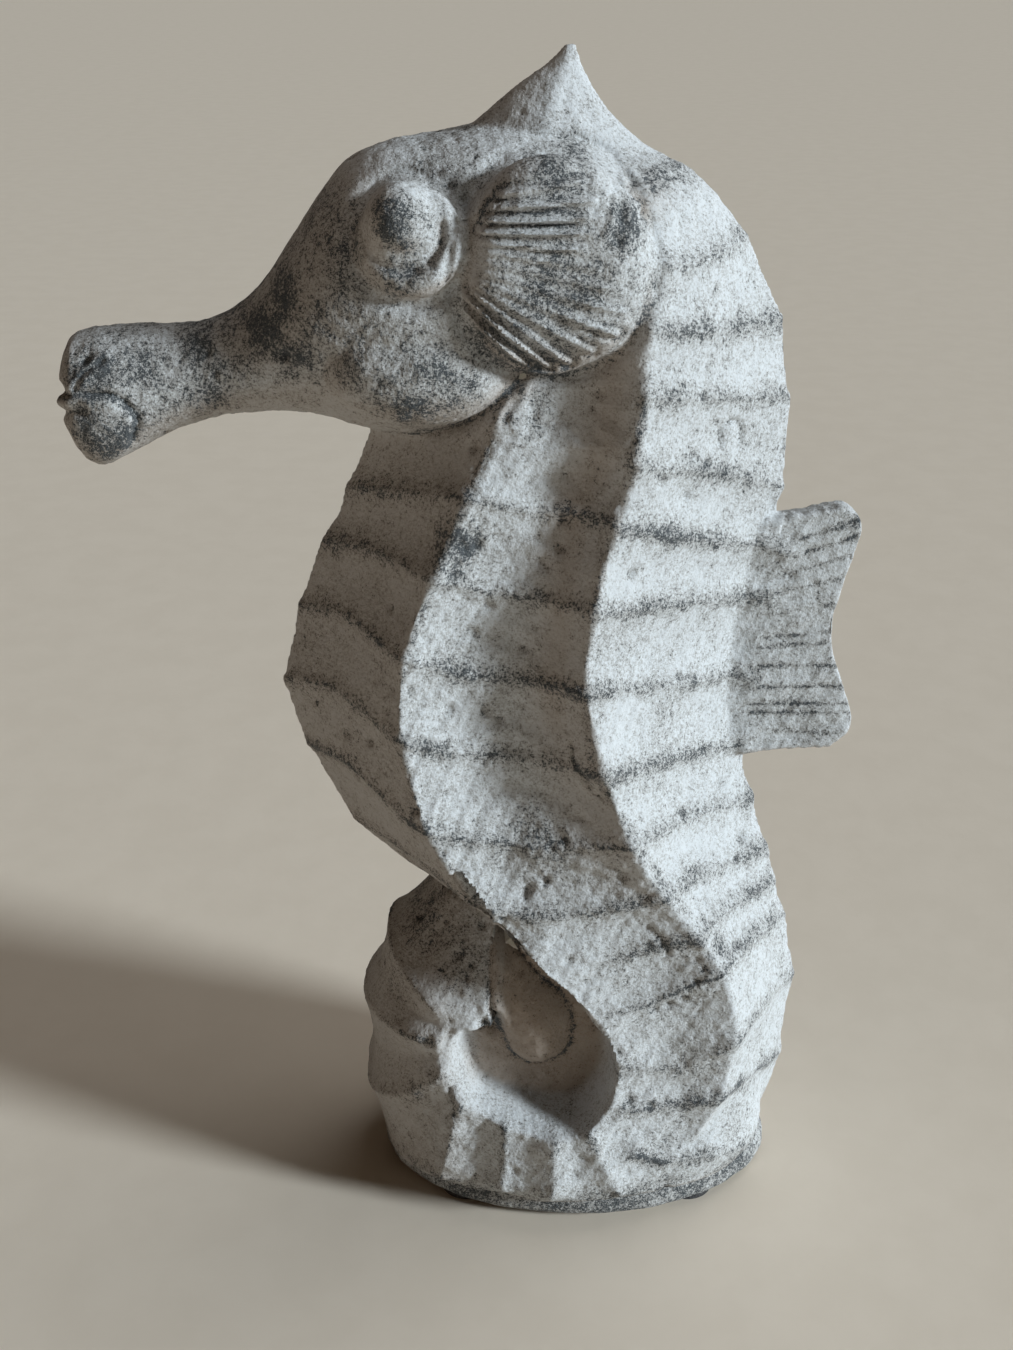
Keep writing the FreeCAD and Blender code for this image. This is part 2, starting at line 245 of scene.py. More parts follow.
def foot_place(u, v):
    height = FOOT[0][0] + v * (FOOT[-1][0] - FOOT[0][0])
    left, right, half_width = curve_through(FOOT, height)
    across, out = superellipse(2 * math.pi * u, FOOT_SQUARENESS)
    x = (left + right) / 2 + (right - left) / 2 * across
    return np.stack([x, half_width * out, height], axis=1)


foot = rolled_form("foot_clay", 120, 70, foot_place)

# %% [markdown]
# ### Head, snout and crest
#
# The head is a form that runs from the tip of the snout back into the neck. The crest is a small
# concave pyramid on top, whose edges run down into the brow, the nape and the gill fans.

# %% Head stations
# place along x, underside, top, half width, squareness of the section
HEAD = [
    (-139.5, 234, 253, 9, 2.2),
    (-137.5, 229, 258, 13, 2.3),
    (-133, 225.5, 260.5, 15, 2.3),
    (-126, 227, 261.5, 15.5, 2.3),
    (-118, 231, 262, 14, 2.2),
    (-108, 235.5, 262.5, 13, 2.1),
    (-97, 238.5, 265, 13.5, 2.0),
    (-88, 239.5, 271.5, 16, 2.0),
    (-79, 239.5, 283, 20, 2.0),
    (-71, 238.5, 295, 24, 2.0),
    (-63, 236.5, 303.5, 27, 2.0),
    (-54, 234, 308, 29, 2.1),
    (-42, 233, 310, 30, 2.2),
    (-28, 237, 312.5, 30, 2.2),
    (-12, 245, 312, 29, 2.1),
    (6, 254, 305, 26, 2.0),
    (18, 262, 296, 18, 2.0),
]
LIP_LEAN = 0.16


def head_place(u, v):
    x = HEAD[0][0] + v * (HEAD[-1][0] - HEAD[0][0])
    under, top, half_width, power = curve_through(HEAD, x)
    out, up = superellipse(2 * math.pi * u, power)
    z = (under + top) / 2 + (top - under) / 2 * up
    lean = LIP_LEAN * np.clip((under + top) / 2 - z, 0, None) * ramp(-x, 122, 138)
    return np.stack([x + lean, half_width * out, z], axis=1)


head = rolled_form("head_clay", 96, 130, head_place)

# %% Crest stations
# height, front, back, half width
CREST = [
    (294, -50, 30, 21),
    (303, -44, 18, 17),
    (308, -39.5, 10, 13.5),
    (313, -32, 4, 10),
    (318, -25.5, 0, 7),
    (323, -19.5, -3, 4.4),
    (327, -14, -4.8, 2.8),
    (331.3, -9.6, -6.4, 1.2),
]
CREST_SQUARENESS = 1.35


def crest_place(u, v):
    height = CREST[0][0] + v * (CREST[-1][0] - CREST[0][0])
    front, back, half_width = curve_through(CREST, height)
    along, out = superellipse(2 * math.pi * u, CREST_SQUARENESS)
    x = (front + back) / 2 + (back - front) / 2 * along
    return np.stack([x, half_width * out, height], axis=1)


crest = rolled_form("crest_clay", 64, 40, crest_place)
print("head and crest:", len(head.data.vertices) + len(crest.data.vertices), "points")

# %% [markdown]
# ### Cheeks, eyes and gill fans
#
# These are pellets of clay pressed onto the head: stretched spheres for the cheek, the eyeball and
# the low shell-shaped fan, and a ring for the thick eyelid. Each is made once on the near side and
# again on the far side.

# %% Press pellets onto the head
def pellet(name, centre, size, side, flatness=1.0):
    """A stretched ball; a flatness above 1 gives it a flatter face and a steeper rim."""
    bpy.ops.mesh.primitive_uv_sphere_add(segments=64, ring_count=48, radius=1.0)
    ball = bpy.context.object
    ball.name = name
    unit = read_points(ball)
    from_axis = np.clip(np.hypot(unit[:, 0], unit[:, 2]), 0.0, 1.0)
    unit[:, 1] = np.sign(unit[:, 1]) * np.sqrt(1.0 - from_axis ** (2.0 * flatness))
    x, y, z = centre
    write_points(ball, to_metres(unit * np.array(size) + np.array([x, side * y, z])))
    return ball


def lid(name, centre, radius, thickness, side, turn):
    """The thick ring round an eye; it lies in the cheek and leans with it."""
    x, y, z = centre
    bpy.ops.mesh.primitive_torus_add(
        major_segments=64, minor_segments=24, major_radius=radius * MM, minor_radius=thickness * MM,
        location=to_metres([x, side * y, z]),
        rotation=(math.radians(90 + side * turn[0]), 0.0, side * math.radians(turn[1])))
    ring = bpy.context.object
    ring.name = name
    bpy.ops.object.transform_apply(location=True, rotation=True, scale=True)
    return ring


pressed = []
for side in (-1, 1):
    pressed += [
        pellet("cheek_clay", (-45, 19, 256), (25, 12, 15), side),
        pellet("socket_clay", (-47.0, 24, 288.0), (11.5, 8.5, 11.5), side, flatness=1.5),
        pellet("eyeball_clay", (-48.4, 25.5, 292.8), (9.2, 9.4, 9.8), side),
        lid("lid_clay", (-46.4, 27.3, 288.4), 9.6, 3.9, side, turn=(14, 12)),
        pellet("fan_clay", (-12.5, 25.5, 282.0), (23.5, 10.0, 26.5), side, flatness=2.0),
    ]
print("pellets:", [p.name for p in pressed])

# %% [markdown]
# ### The back fin
#
# The fin is a thin ribbed plate. A cube pulled to its outline would have too few corners for the wavy
# outer edge, so a grid is laid out between the root and that edge, a Solidify modifier gives it its
# thickness, and a Bevel modifier softens its rim.

# %% Lay out the fin
# height at the root, height at the outer edge, reach of the outer edge
FIN = [
    (139.5, 141.5, 69.0),
    (144.0, 146.0, 74.0),
    (151.0, 152.5, 74.5),
    (160.0, 161.0, 71.5),
    (168.0, 169.5, 68.5),
    (177.0, 179.0, 67.5),
    (186.0, 189.0, 69.0),
    (195.0, 199.0, 71.5),
    (202.0, 206.5, 73.0),
    (206.5, 211.5, 71.5),
    (208.5, 214.0, 67.5),
]
FIN_ROOT_X = 36.0
FIN_THICKNESS = 8.0


def fin_sheet():
    deselect_all()
    bpy.ops.mesh.primitive_grid_add(x_subdivisions=30, y_subdivisions=80, size=1.0)
    sheet = bpy.context.object
    sheet.name = "fin_clay"
    flat = read_points(sheet) + np.array([0.5, 0.5, 0.0])
    stations = [(i / (len(FIN) - 1), *row) for i, row in enumerate(FIN)]
    root_z, edge_z, reach = curve_through(stations, flat[:, 1])
    x = FIN_ROOT_X + flat[:, 0] * (reach - FIN_ROOT_X)
    z = root_z + flat[:, 0] ** 1.3 * (edge_z - root_z)
    write_points(sheet, to_metres(np.stack([x, x * 0.0, z], axis=1)))
    solid = sheet.modifiers.new("thickness", "SOLIDIFY")
    solid.thickness = FIN_THICKNESS * MM
    solid.offset = 0.0
    bpy.ops.object.modifier_apply(modifier=solid.name)
    edge = sheet.modifiers.new("soft_edge", "BEVEL")
    edge.width = 2.2 * MM
    edge.segments = 3
    edge.limit_method = "ANGLE"
    edge.angle_limit = math.radians(60)
    bpy.ops.object.modifier_apply(modifier=edge.name)
    return sheet


fin = fin_sheet()
print("fin:", len(fin.data.vertices), "points")

# %% [markdown]
# ## One lump of clay
#
# All forms are joined, and a voxel remesh melts them into one even skin. A light smoothing works
# like a wet thumb: it takes away the voxel steps and softens every join.

# %% Melt the forms together
VOXEL = 0.91
SMOOTHING_ROUNDS = 9


def melt(name, forms, voxel):
    deselect_all()
    for form in forms:
        form.select_set(True)
    bpy.context.view_layer.objects.active = forms[0]
    bpy.ops.object.join()
    lump = bpy.context.object
    lump.name = name
    lump.data.remesh_voxel_size = voxel * MM
    bpy.ops.object.voxel_remesh()
    thumb = lump.modifiers.new("thumb", "SMOOTH")
    thumb.factor = 0.5
    thumb.iterations = SMOOTHING_ROUNDS
    bpy.ops.object.modifier_apply(modifier=thumb.name)
    return lump


figure = melt("figure_clay", [trunk, foot, head, crest, fin] + pressed, VOXEL)
print("figure:", len(figure.data.vertices), "points,", len(figure.data.polygons), "faces")

# %% [markdown]
# ## Carving tools
#
# From here on the surface is carved by moving its points, as a sculptor's tools would. Four tools do
# all the work: the distance to a line drawn on the side of the figure, soft round patches, lumpy
# random fields, and small pits. The same tools also write down where the dark wash stays.

# %% Tools that measure the surface
points = to_drawing(read_points(figure))
normals = np.empty(len(points) * 3)
figure.data.vertices.foreach_get("normal", normals)
normals = normals.reshape(-1, 3)
side_view = points[:, [0, 2]]
depth_from_middle = np.abs(points[:, 1])
flankness = ramp(np.abs(normals[:, 1]), 0.25, 0.7)
outward = np.sign(points[:, 1])


def near_line(line):
    """Distance in the side view from every point to a broken line."""
    best = np.full(len(side_view), 1e9)
    for a, b in zip(line, line[1:]):
        a, b = np.array(a, float), np.array(b, float)
        along = np.clip(((side_view - a) @ (b - a)) / ((b - a) @ (b - a)), 0.0, 1.0)
        best = np.minimum(best, np.hypot(*(side_view - a - along[:, None] * (b - a)).T))
    return best


def oval_distance(middle, radii):
    """0 at an oval's middle and 1 on its outline, in the side view."""
    return np.hypot((side_view[:, 0] - middle[0]) / radii[0], (side_view[:, 1] - middle[1]) / radii[1])


def near_lines(lines):
    """Distance to the nearest of several lines."""
    return np.minimum.reduce([near_line(line) for line in lines])


def bell(distance, width):
    """1 on a line, falling off smoothly to either side within about this width."""
    return np.exp(-(distance / width) ** 2)


def smooth_line(corners, steps=6):
    """A broken line with its corners rounded: a smooth curve through them."""
    table = [(i, *corner) for i, corner in enumerate(corners)]
    at = np.linspace(0, len(corners) - 1, (len(corners) - 1) * steps + 1)
    return [tuple(p) for p in curve_through(table, at).T]


def inside(outline):
    """True for the points inside a closed outline in the side view."""
    hit = np.zeros(len(side_view), bool)
    x, z = side_view.T
    for (x1, z1), (x2, z2) in zip(outline, outline[1:] + outline[:1]):
        crosses = (z1 > z) != (z2 > z)
        hit ^= crosses & (x < (x2 - x1) * (z - z1) / (z2 - z1 + 1e-9) + x1)
    return hit


def patch(x, z, radius):
    """1 in the middle of a round patch in the side view, fading to 0 at its radius."""
    return ramp(radius - np.hypot(side_view[:, 0] - x, side_view[:, 1] - z), 0.0, radius * 0.8)


def lumps(size, seed, at=None):
    """A smooth random field from -1 to 1, with a lump about every `size` millimetres."""
    place = points if at is None else at
    turned = place @ np.array([[0.80, 0.60, 0.0], [-0.48, 0.64, 0.60], [0.36, -0.48, 0.80]])
    grid = turned / size + seed * 17.31
    cell = np.floor(grid)
    share = grid - cell
    share = share * share * (3.0 - 2.0 * share)
    total = np.zeros(len(place))
    for corner in np.ndindex(2, 2, 2):
        key = (cell + corner) @ np.array([127.1, 311.7, 74.7])
        value = np.modf(np.sin(key) * 43758.5453)[0]
        weight = np.prod(np.where(np.array(corner) == 1, share, 1.0 - share), axis=1)
        total += value * weight
    return total


def rough(size, seed):
    """Lumps of three sizes on top of each other."""
    return (lumps(size, seed) + 0.5 * lumps(size / 2, seed + 1) + 0.25 * lumps(size / 4, seed + 2)) / 1.3


# %% [markdown]
# ## The rings
#
# A seahorse wears bony rings, and each ring is a low sharp rib that runs across all panels, with a
# hollow between it and the next. Each rib is drawn as one line from the belly over the flank to the
# back. Where it crosses the belly it stands out as a bump.

# %% Raise the rings
RINGS = [
    [(8, 301), (26, 302)],
    [(10, 283), (24, 282), (37, 285)],
    [(10, 268), (28, 265), (47, 264)],
    [(9, 252), (30, 248), (53, 243)],
    [(9, 234), (30, 228), (53, 217)],
    [(-68, 218), (-48, 222), (-33, 224), (-15, 220), (2, 219), (26, 210), (52, 201)],
    [(-79, 202), (-60, 205), (-41, 203), (-25, 198), (0, 196), (22, 192), (49, 187)],
    [(-85, 183), (-67, 186), (-49, 181), (-31, 174), (-3, 174), (18, 169), (46, 163)],
    [(-89, 161), (-70, 165), (-52, 158), (-31, 151), (0, 150), (20, 147), (44, 142)],
    [(-84, 141), (-66, 142), (-46, 131), (-20, 125), (12, 129), (28, 128), (48, 124)],
    [(-73, 118), (-54, 116), (-31, 107), (-9, 105), (22, 112), (36, 111), (54, 107)],
    [(-60, 101), (-40, 99), (-20, 92), (-8, 89), (8, 91), (33, 99), (45, 99), (58, 96)],
    [(0, 73), (15, 75), (29, 82), (40, 87), (50, 87), (62, 83)],
    [(4, 58), (25, 53), (42, 62), (52, 64), (65, 63)],
    [(5, 42), (20, 40), (40, 42), (50, 40), (64, 33)],
    [(14, 26), (24, 21), (38, 20), (58, 12)],
]
RING_HEIGHT = 1.9
RING_REACH = 5.0
BETWEEN_RINGS = 0.35

ring_distance = near_lines([smooth_line(ring) for ring in RINGS])
ring_wobble = 1.0 + 0.35 * lumps(14, 3)
ring_shape = np.exp(-ring_distance / RING_REACH)

head_zone = ramp(points[:, 2] - 0.25 * points[:, 0], 244, 250) * ramp(points[:, 0], 14, 6)
ring_zone = 1.0 - head_zone
lift = ring_zone * ring_wobble * RING_HEIGHT * (0.75 + 0.25 * flankness) * (ring_shape - BETWEEN_RINGS)
print("rings:", len(RINGS))

# %% [markdown]
# ## The coiled tail
#
# Inside the tail's loop the clay is pressed in, and the tip of the tail curls over into a drop with
# a horn. The front of the loop lies a step lower than the trunk that comes down behind it. Short ribs
# cross the tail all round the loop, like the spokes of a wheel. The flank above is shaped here too:
# hollow under the fan, a little fuller where it turns into the tail.

# %% Carve the coil
HOLLOW = smooth_line([
    (-28, 65), (-32, 64.5), (-37, 66), (-41, 62), (-42, 55), (-39, 47), (-34, 41), (-26, 37), (-14, 34),
    (-2, 35), (5, 42), (8, 52), (6.5, 62), (1, 71), (-6, 81), (-14, 90), (-22, 99), (-27, 103),
    (-28, 96), (-28, 88), (-28.8, 78), (-28.3, 70), (-28, 65)], 4)
DROP_RIM = smooth_line([
    (-26, 94), (-20.5, 86), (-15.5, 79.5), (-11.5, 75.5), (-8, 72), (-5, 67), (-4, 61), (-5.5, 54),
    (-10, 49.5), (-15.5, 48), (-20, 49.8), (-23.3, 54), (-26, 61), (-28.3, 66)], 4)
DROP = DROP_RIM + [(-28.5, 72), (-28.5, 88)]
TIP_LINE = [(-28.2, 88), (-28.8, 79), (-28.6, 70)]
SPOKES = [
    [(-64, 84), (-57, 80), (-44, 70)],
    [(-68, 60), (-60, 60), (-43, 60)],
    [(-64, 31), (-52, 40), (-42, 50)],
    [(-44, 8), (-41, 20), (-38, 37), (-36, 42)],
    [(-25, 4), (-24.5, 18), (-23.5, 38)],
    [(-10, 4), (-10, 18), (-9.5, 35)],
    [(14, 4), (8, 16), (0, 36)],
]
COIL_SIDE = [
    (-27.9, 104), (-30, 109), (-36, 118), (-50, 116), (-64, 104), (-72, 80), (-72, 44), (-42, 44),
    (-36, 50), (-31, 58), (-28.2, 64), (-27.9, 78), (-27.9, 96)]
HOLLOW_DEPTH = 13.0
SIDE_STEP = 4.5
DROP_RISE = 6.0
HORN_LINE_DEPTH = 0.8
HOOK_DEPTH = 2.8
NECK_HOLLOW = 4.0
LOWER_FLANK_RISE = 3.0
SPOKE_HEIGHT = 3.8
SPOKE_REACH = 6.5

in_hollow = inside(HOLLOW)
hollow_edge = near_line(HOLLOW)
hollow_signed = np.where(in_hollow, hollow_edge, -hollow_edge)
toward_snout = ramp(-points[:, 0], 30, 40)
soft_width = 1.1 + 3.9 * toward_snout
press = -HOLLOW_DEPTH * ramp(hollow_signed, -0.6, 2 * soft_width)
press = press * (1.0 - 0.12 * ramp(points[:, 2], 50, 62) - 0.22 * ramp(points[:, 2], 74, 90))

in_drop = inside(DROP)
drop_edge = near_line(DROP_RIM)
dome = DROP_RISE * np.sqrt(np.clip(drop_edge / 9.0, 0, 1))
root = (HOLLOW_DEPTH - SIDE_STEP) * ramp(-points[:, 0], 17, 27) * ramp(drop_edge, -0.5, 5.0)
press = np.where(in_drop, np.maximum(dome, root) - HOLLOW_DEPTH, press)
side_step = SIDE_STEP * ramp(points[:, 2], 44, 92)
press = np.where(inside(COIL_SIDE), np.minimum(press, -side_step), press)
tip_line = near_line(TIP_LINE)
press -= HORN_LINE_DEPTH * bell(tip_line, 1.1)

hook = near_line([(-31, 60.5), (-30, 66), (-27.2, 59)])
press -= HOOK_DEPTH * bell(hook, 2.4)
press -= NECK_HOLLOW * np.maximum(patch(-10, 252, 21), 0.8 * patch(-5, 224, 19))
lower_flank = flankness * ramp(points[:, 2], 145, 120) * ramp(points[:, 0], -26, -12) * ~in_hollow
press += LOWER_FLANK_RISE * lower_flank * ramp(points[:, 0], 30, -8)

low_zone = ramp(points[:, 2], 108, 96)
spoke_distance = near_lines(SPOKES)
spoke_zone = (1.0 - ramp(hollow_signed, -1.5, 1.0)) * low_zone
spoke_zone = spoke_zone * ramp(points[:, 0], 34, 16)
spoke_shape = np.exp(-spoke_distance / SPOKE_REACH)
ring_keep = 1.0 - ramp(-points[:, 0], -12, 2) * low_zone
ring_keep = ring_keep * (1.0 - ramp(hollow_signed, -1.0, 1.0) * low_zone)
lift = lift * ring_keep + spoke_zone * SPOKE_HEIGHT * (spoke_shape - 0.25) * (1 + 0.25 * lumps(12, 8))

print("spokes:", len(SPOKES))

# %% [markdown]
# ## Gill fan, jaw and mouth
#
# Ribs run over the gill fan from behind the eye: the upper ones lie nearly level, the lower ones
# slant down and are the strongest. A sharp crease runs under the jaw, and the mouth is a short notch
# with two fleshy lips. A comb would cut all ribs alike, so each one is drawn by itself.

# %% Carve the head
FAN_MIDDLE = (-12.5, 282.0)
FAN_RADIUS = (23.5, 26.5)
RIBS = [
    [(-35, 273.5), (-17.5, 258)], [(-34, 276.4), (-13.5, 259)], [(-31.5, 277.6), (-8.5, 259.8)],
    [(-31.5, 279.6), (-3, 262.8)], [(-32.3, 281.4), (3, 267.2)], [(-32.5, 283.4), (5, 272.5)],
    [(-32, 285.6), (4, 278)], [(-31.5, 287.6), (-2, 283.5)], [(-31, 289.6), (-5, 287.6)],
    [(-30, 291.8), (-3, 291.6)], [(-28.5, 294.4), (0, 295.1)], [(-27, 297.2), (-3, 299)],
    [(-25, 299.9), (-6, 303.3)],
]
RIB_STRENGTHS = [1.2, 1.3, 1.3, 1.2, 1.1, 0.8, 0.6, 0.7, 0.9, 1.2, 1.5, 1.5, 1.4]
RIB_HEIGHT = 2.0

fan_edge = (1.0 - oval_distance(FAN_MIDDLE, FAN_RADIUS)) * FAN_RADIUS[0]
fan_zone = ramp(fan_edge, -0.5, 1.0) * flankness
fan_below = ramp(FAN_MIDDLE[1] - side_view[:, 1], -4, 16)
rib_distance = np.full(len(points), 1e9)
rib_weight = np.zeros(len(points))
for rib, strength in zip(RIBS, RIB_STRENGTHS):
    distance = near_line(rib)
    rib_weight = np.where(distance < rib_distance, strength, rib_weight)
    rib_distance = np.minimum(rib_distance, distance)
rib_fade = 0.75 + 0.5 * lumps(11, 22)
rib_strength = rib_weight * rib_fade * fan_zone * ramp(rib_distance, 3.0, 1.6)
rib_strength = rib_strength * (1.0 - patch(3, 294, 13))
press += rib_strength * RIB_HEIGHT * (bell(rib_distance, 0.75) - 0.45)
press += 0.9 * ramp(fan_edge, -0.5, 1.0) * ramp(fan_edge, 7.0, 1.5) * fan_below
press -= 1.6 * bell(fan_edge + 1.6, 1.5) * flankness

JAW_DEPTH = 2.2
MOUTH_DEPTH = 1.8
LIP_SWELL = 1.5
LIP_FOLD_DEPTH = 1.3
NOTCH_DEPTH = 1.3
JAW = smooth_line([(-62, 236), (-52, 236), (-41, 238.5), (-30, 244.5), (-20, 253.5)])
jaw = near_line(JAW)
press -= JAW_DEPTH * bell(jaw, 1.3) * ramp(points[:, 0], -60, -52)

MOUTH = [(-146, 240), (-139, 241.5), (-133, 243.5)]
mouth = near_line(MOUTH)
lift -= MOUTH_DEPTH * bell(mouth, 1.6)
LIP_FOLD = smooth_line([
    (-140, 245.5), (-134, 247.2), (-129, 247.6), (-123, 246.5), (-119, 241), (-121, 235)])
lip = near_line(LIP_FOLD)
in_lip = inside(LIP_FOLD + [(-126, 228), (-140, 228)])
lift += np.where(in_lip, LIP_SWELL * np.exp(-lip / 4.0), 0.0) - LIP_FOLD_DEPTH * bell(lip, 1.1)
UPPER_FOLD = smooth_line([(-134, 249), (-131.5, 252.5), (-126, 256)])
upper_fold = near_line(UPPER_FOLD)
press += 0.9 * bell(upper_fold - 0.9, 1.0) - 0.8 * bell(upper_fold, 0.8)
CHIN_NOTCHES = [(-139, 235), (-136, 230), (-139, 247.5)]
for x, z in CHIN_NOTCHES:
    lift -= NOTCH_DEPTH * patch(x, z, 2.6)

EYE_MIDDLE = (-46.5, 288.5)
EYEBALL_MIDDLE = (-48.4, 292.8)
EYEBALL_RADIUS = (9.2, 9.8)
EYE_FOLD_DEPTH = 1.5
eye_distance = oval_distance(EYE_MIDDLE, (1.0, 1.0))
press -= 1.2 * bell(eye_distance - 15.0, 2.0) * flankness
EYE_FOLD = smooth_line([(-38.9, 292.5), (-39.2, 288), (-41.5, 284)])
eye_fold = near_line(EYE_FOLD)
press -= EYE_FOLD_DEPTH * bell(eye_fold, 1.2) * flankness
ball_distance = oval_distance(EYEBALL_MIDDLE, EYEBALL_RADIUS)
press -= 0.7 * bell(ball_distance - 1.08, 0.1) * flankness

# %% [markdown]
# ## Fin rays
#
# The fin's rays fan out a little towards its edge. They are shallow combed grooves.

# %% Comb the fin
fin_root = 42.0 + 8.0 * ramp(points[:, 2], 180, 212)
fin_zone = ramp(points[:, 0] - fin_root, -1, 5) * ramp(points[:, 2], 134, 141)
fin_zone = fin_zone * ramp(points[:, 2], 222, 214) * ramp(14 - depth_from_middle, 0, 6)
RAYS = [
    [(46, 146.5), (72, 146)], [(43, 152.5), (74, 152.2)], [(43, 155.4), (74, 155)], [(43, 161), (71, 160.4)],
    [(42, 166.5), (69, 167)], [(41, 172), (67, 174)], [(41, 174.6), (67, 177)], [(42, 181), (68, 185.5)],
    [(43, 187), (68, 193)], [(45, 192), (70, 199.5)], [(47, 197), (71, 205)], [(50, 202.5), (72, 210)],
]
ray_distance = near_lines(RAYS)
RAY_DEPTH = 0.9
RAY_CREST = 0.5
ray_wobble = 0.5 * np.abs(lumps(5, 23))
ray_groove = bell(ray_distance + ray_wobble, 0.9)
ray_crest = bell(ray_distance - 1.5, 0.7)
press += (RAY_CREST * ray_crest - RAY_DEPTH * ray_groove) * fin_zone * flankness
print("rays:", len(RAYS))

# %% [markdown]
# ## The sandy skin
#
# The casting is not smooth. Fine sand and air bubbles leave lumps and pits, most on the flanks and
# the foot, fewer on the back and the face. Cracks and chips come last.

# %% Make the surface rough
FRONT_RIDGE = smooth_line([
    (-21, 252), (-26, 243), (-33, 226), (-41, 204), (-49, 183), (-52, 159), (-45, 132), (-32, 110),
    (-20, 95), (-4, 77), (6, 63), (9, 52)])
REAR_RIDGE = smooth_line([
    (11, 285), (11, 268), (10, 250), (8, 234), (2, 217), (-1, 196), (-3, 174), (0, 152), (12, 129),
    (22, 112), (33, 99), (40, 88)])
front_ridge = near_line(FRONT_RIDGE)
rear_ridge = near_line(REAR_RIDGE)

facing_back = ramp(normals[:, 0], 0.25, 0.6)
facing_front = ramp(-normals[:, 0], 0.25, 0.6)
head_only = ramp(points[:, 2] - 0.25 * points[:, 0], 246, 252) * ramp(points[:, 0], 20, 8)
lumpiness = 1.0 - 0.6 * facing_back - 0.65 * facing_front - 0.35 * head_only
lumpiness = np.clip(lumpiness, 0.22, 1.0)
lumpiness = lumpiness + 0.5 * bell(front_ridge, 5.0)
lumpiness = lumpiness * (1.0 - 0.35 * fan_zone)
lumpiness = np.maximum(lumpiness, 2.3 * patch(-19, 245, 11))
lumpiness = np.maximum(lumpiness, 2.4 * patch(3, 295, 12))
lumpiness = np.maximum(lumpiness, 1.2 * patch(-37, 209, 12))
SCAB_MIDDLE = (-19.0, 245.0)
scab_edge = oval_distance(SCAB_MIDDLE, (1.0, 1.0)) + 1.6 * lumps(4, 34)
press += 0.5 * ramp(scab_edge, 8.5, 6.0)

lift += 0.5 * lumps(17, 31) + 0.35 * lumps(9, 32)
lift += lumpiness * (0.36 * rough(4.2, 33) + 0.42 * lumps(1.9, 37) + 0.22 * lumps(1.1, 38))
lift += 0.8 * bell(front_ridge, 1.8) * lumps(5, 41) * (1 - head_only)
lift += 0.5 * bell(rear_ridge, 1.8) * lumps(6, 42) * (1 - fan_zone)

CRACKS = [
    [(-6, 158), (-5, 152), (-2, 148), (-1, 144), (3, 141)],
    [(-40, 45), (-38.5, 41), (-38, 37)],
    [(16, 101), (20, 97), (22, 92)],
]
CRACK_DEPTH = 1.1
crack = np.full(len(points), 1e9)
for line in CRACKS:
    crack = np.minimum(crack, near_line(line) + 0.7 * np.abs(lumps(2.5, 44)))
press -= CRACK_DEPTH * bell(crack, 0.8)

# %% Apply the carving
hold_underside = ramp(points[:, 2], plate_top - 0.4, plate_top + 3.0)
shape = points + normals * (lift * hold_underside)[:, None]
shape[:, 1] += outward * press * flankness * ramp(depth_from_middle, 3, 9)

# %% [markdown]
# ### Pits
#
# Each pit is a small bowl where an air bubble broke. Its place is picked at random, more often where
# the skin is rough, and the points near it are pushed in.

# %% Push in the pits
random = np.random.default_rng(7)
PIT_COUNT = 1100
SMALLEST_PIT = 0.5
PIT_SPREAD = 1.3
PIT_RIM = 1.5
SCAR_DEPTH = 1.2
pit_mark = np.zeros(len(points))
chance = lumpiness * (0.35 + ramp(lumps(24, 51), -0.2, 0.5)) * (1.0 - 0.95 * fin_zone)
chosen = random.choice(len(points), PIT_COUNT, replace=False, p=chance / chance.sum())
tree = kdtree.KDTree(len(points))
for index, spot in enumerate(shape):
    tree.insert(spot, index)
tree.balance()
for index in chosen:
    radius = SMALLEST_PIT + PIT_SPREAD * random.random() ** 4
    deep = radius * (0.45 + 0.4 * random.random())
    for _, other, distance in tree.find_range(shape[index], radius * PIT_RIM):
        bowl = max(0.0, 1.0 - (distance / (radius * PIT_RIM)) ** 2)
        shape[other] -= normals[other] * deep * bowl**2
        pit_mark[other] = max(pit_mark[other], bowl)
SCAR = [(35 + 3.2 * math.cos(a), 236 + 4.0 * math.sin(a)) for a in np.linspace(-0.9, 3.6, 12)]
scar = near_line(SCAR) + 0.4 * np.abs(lumps(1.5, 53))
scar_zone = bell(scar, 0.8) * facing_back
shape -= normals * (SCAR_DEPTH * scar_zone)[:, None]
pit_mark = np.maximum(pit_mark, scar_zone)
write_points(figure, to_metres(shape))
print("pits:", PIT_COUNT)
